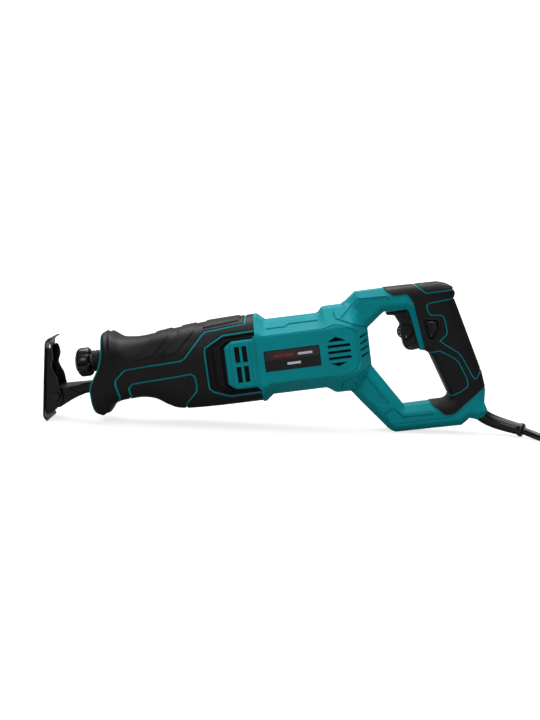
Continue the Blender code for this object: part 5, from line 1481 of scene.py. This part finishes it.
def rounded_box(x0, x1, y0, y1, radius, steps=5):
    corners = []
    for cx, cy, start in ((x1 - radius, y1 - radius, 0), (x0 + radius, y1 - radius, 90),
                          (x0 + radius, y0 + radius, 180), (x1 - radius, y0 + radius, 270)):
        for i in range(steps + 1):
            turn = math.radians(start + 90 * i / steps)
            corners.append((cx + radius * math.cos(turn), cy + radius * math.sin(turn)))
    return corners


def cut_corners(line, rounds=2):
    """A closed outline with its corners cut and cut again, so that it runs in curves."""
    for _ in range(rounds):
        line = [(a[0] * (1 - t) + b[0] * t, a[1] * (1 - t) + b[1] * t)
                for a, b in zip(line, line[1:] + line[:1]) for t in (0.22, 0.78)]
    return line


CHEEK = cut_corners([
    (-219.4, 41.2), (-214.3, 39.6), (-213.5, 29.0), (-217.6, 21.6), (-216.2, 15.2), (-212.9, 8.0),
    (-212.5, -2.0), (-211.0, -10.0), (-210.7, -16.5), (-217.2, -25.2), (-228.8, -30.8),
    (-231.2, -27.4), (-226.4, 0.0)])
SHOE_PIVOT = (-217.0, -12.0)
sheet_lay, sheet_long = bend_along(SHOE_CURVE)
bm = bmesh.new()
add_plate(bm, rounded_box(0.2, sheet_long - 0.2, -SHOE_HALF, SHOE_HALF, SHOE_CORNER), [], 0,
          SHEET / 2, PRESS_ROUND, 2.4, lay=sheet_lay,
          holes=[rounded_box(*SLOT_ENDS, -SLOT_HALF, SLOT_HALF, SLOT_CORNER)])
for side in (1, -1):
    dimple = [Panel(circle(SHOE_PIVOT, 5.4, 20), 1.4, 0.6)] if side > 0 else []
    add_plate(bm, CHEEK, dimple, side * CHEEK_AT, SHEET / 2, PRESS_ROUND, 1.8)
set_on_bench(bm)
shoe = piece("face_shoe", bm, ["black_steel"], "shoe", stands_for=("shoe",), smooth_angle=34)
print("shoe", len(shoe.data.polygons), "faces")

# %% Forge the arm
ARM_OUTLINE = [
    (-221.4, -9.0), (-219.6, -6.0), (-215.6, -3.8), (-212.0, -3.2), (-204.0, -3.2), (-112.4, -3.2),
    (-112.4, -13.6), (-176.0, -13.7), (-188.0, -14.6), (-196.0, -16.6), (-203.0, -19.2), (-210.0, -22.3),
    (-215.4, -25.0), (-217.2, -25.3), (-218.8, -24.0), (-221.2, -18.6),
]
ARM_HALF, KNUCKLE_HALF, ARM_ROUND = 9.0, 14.0, 1.2
KNUCKLE_ENDS, ARM_STARTS = -207, -186


def arm_half(points):
    wide = np.interp(points[:, 0], (KNUCKLE_ENDS, ARM_STARTS), (KNUCKLE_HALF, ARM_HALF))
    return wide - round_off(distance_to(points, closed(ARM_OUTLINE)), ARM_ROUND)


arm_features = [
    Panel([(-204.0, -6.0), (-120.0, -5.8), (-120.0, -11.2), (-180.0, -11.4), (-194.0, -13.4)], 0.9, 1.8),
    Panel(circle(SHOE_PIVOT, 3.4, 16), 0.5, 0.8),
]
arm = close_skin("slide_arm", arm_features, ARM_OUTLINE, [], arm_half, 2.4, ["black_steel"],
                 ("shoe_arm",), smooth_angle=34, body="shoe_arm",
                 extra=rim_points([closed(ARM_OUTLINE)], (0.12, 0.5, 1.2), 1.8))

# %% [markdown]
# ## The cable guard
# A soft sleeve keeps the lead from kinking where it leaves the handle. It bends towards the bench
# and ends in a thicker ring. Rings of points are set square to a curve, each with its own radius.

# %% Mould the guard
GUARD_ROOT, GUARD_LEAVE = (223.0, -86.0), (0.72, -0.69)
GUARD_STRAIGHT, GUARD_END = 11.0, Vector((274.2, -15.0, 7.4))
GUARD_ARRIVE = Vector((0.80, -0.56, -0.17)).normalized()
GUARD_PULL, GUARD_SIDES = 0.95, 40
root = on_bench(GUARD_ROOT[0], 0, GUARD_ROOT[1]) / MM
leave = on_bench(GUARD_ROOT[0] + GUARD_LEAVE[0], 0, GUARD_ROOT[1] + GUARD_LEAVE[1]) / MM - root
leave.normalize()
start = root + leave * GUARD_STRAIGHT
pull = (GUARD_END - start).length * GUARD_PULL


def guard_point(share):
    """A point on the guard's curve, from 0 where it leaves the straight to 1 at its end."""
    s2, s3 = share ** 2, share ** 3
    return ((2 * s3 - 3 * s2 + 1) * start + (s3 - 2 * s2 + share) * pull * leave
            + (3 * s2 - 2 * s3) * GUARD_END + (s3 - s2) * pull * GUARD_ARRIVE)


GUARD_PROFILE = (  # share of the curve, radius
    (-0.20, 7.3), (-0.10, 7.3), (0.0, 7.3), (0.08, 7.25), (0.16, 7.2), (0.24, 7.15), (0.32, 7.1),
    (0.40, 7.0), (0.48, 6.9), (0.56, 6.8), (0.64, 6.65), (0.72, 6.5), (0.80, 6.35), (0.85, 6.25),
    (0.875, 6.25), (0.885, 6.5), (0.900, 7.0), (0.920, 7.3), (0.950, 7.35), (0.975, 7.25),
    (0.990, 6.8), (0.998, 6.2), (1.0, 5.4), (0.995, 4.5), (0.96, 4.1),
)
bm = bmesh.new()
rings = []
for share, radius in GUARD_PROFILE:
    spot = guard_point(share) if share > 0 else start + leave * share * pull
    ahead = (guard_point(share + 0.01) - guard_point(share - 0.01)).normalized() if share > 0.01 else leave
    side = ahead.cross(Vector((0, 0, 1))).normalized()
    up = side.cross(ahead)
    rings.append([(spot + (side * math.cos(t) + up * math.sin(t)) * radius) * MM
                  for t in (2 * math.pi * i / GUARD_SIDES for i in range(GUARD_SIDES))])
skin_rings(bm, rings, capped=False)
bmesh.ops.recalc_face_normals(bm, faces=bm.faces)
guard = piece("guard_sleeve", bm, ["cord_rubber"], "housing", slot="black_rubber",
              stands_for=("cable_guard",), smooth_angle=45)
print("guard", len(guard.data.polygons), "faces")
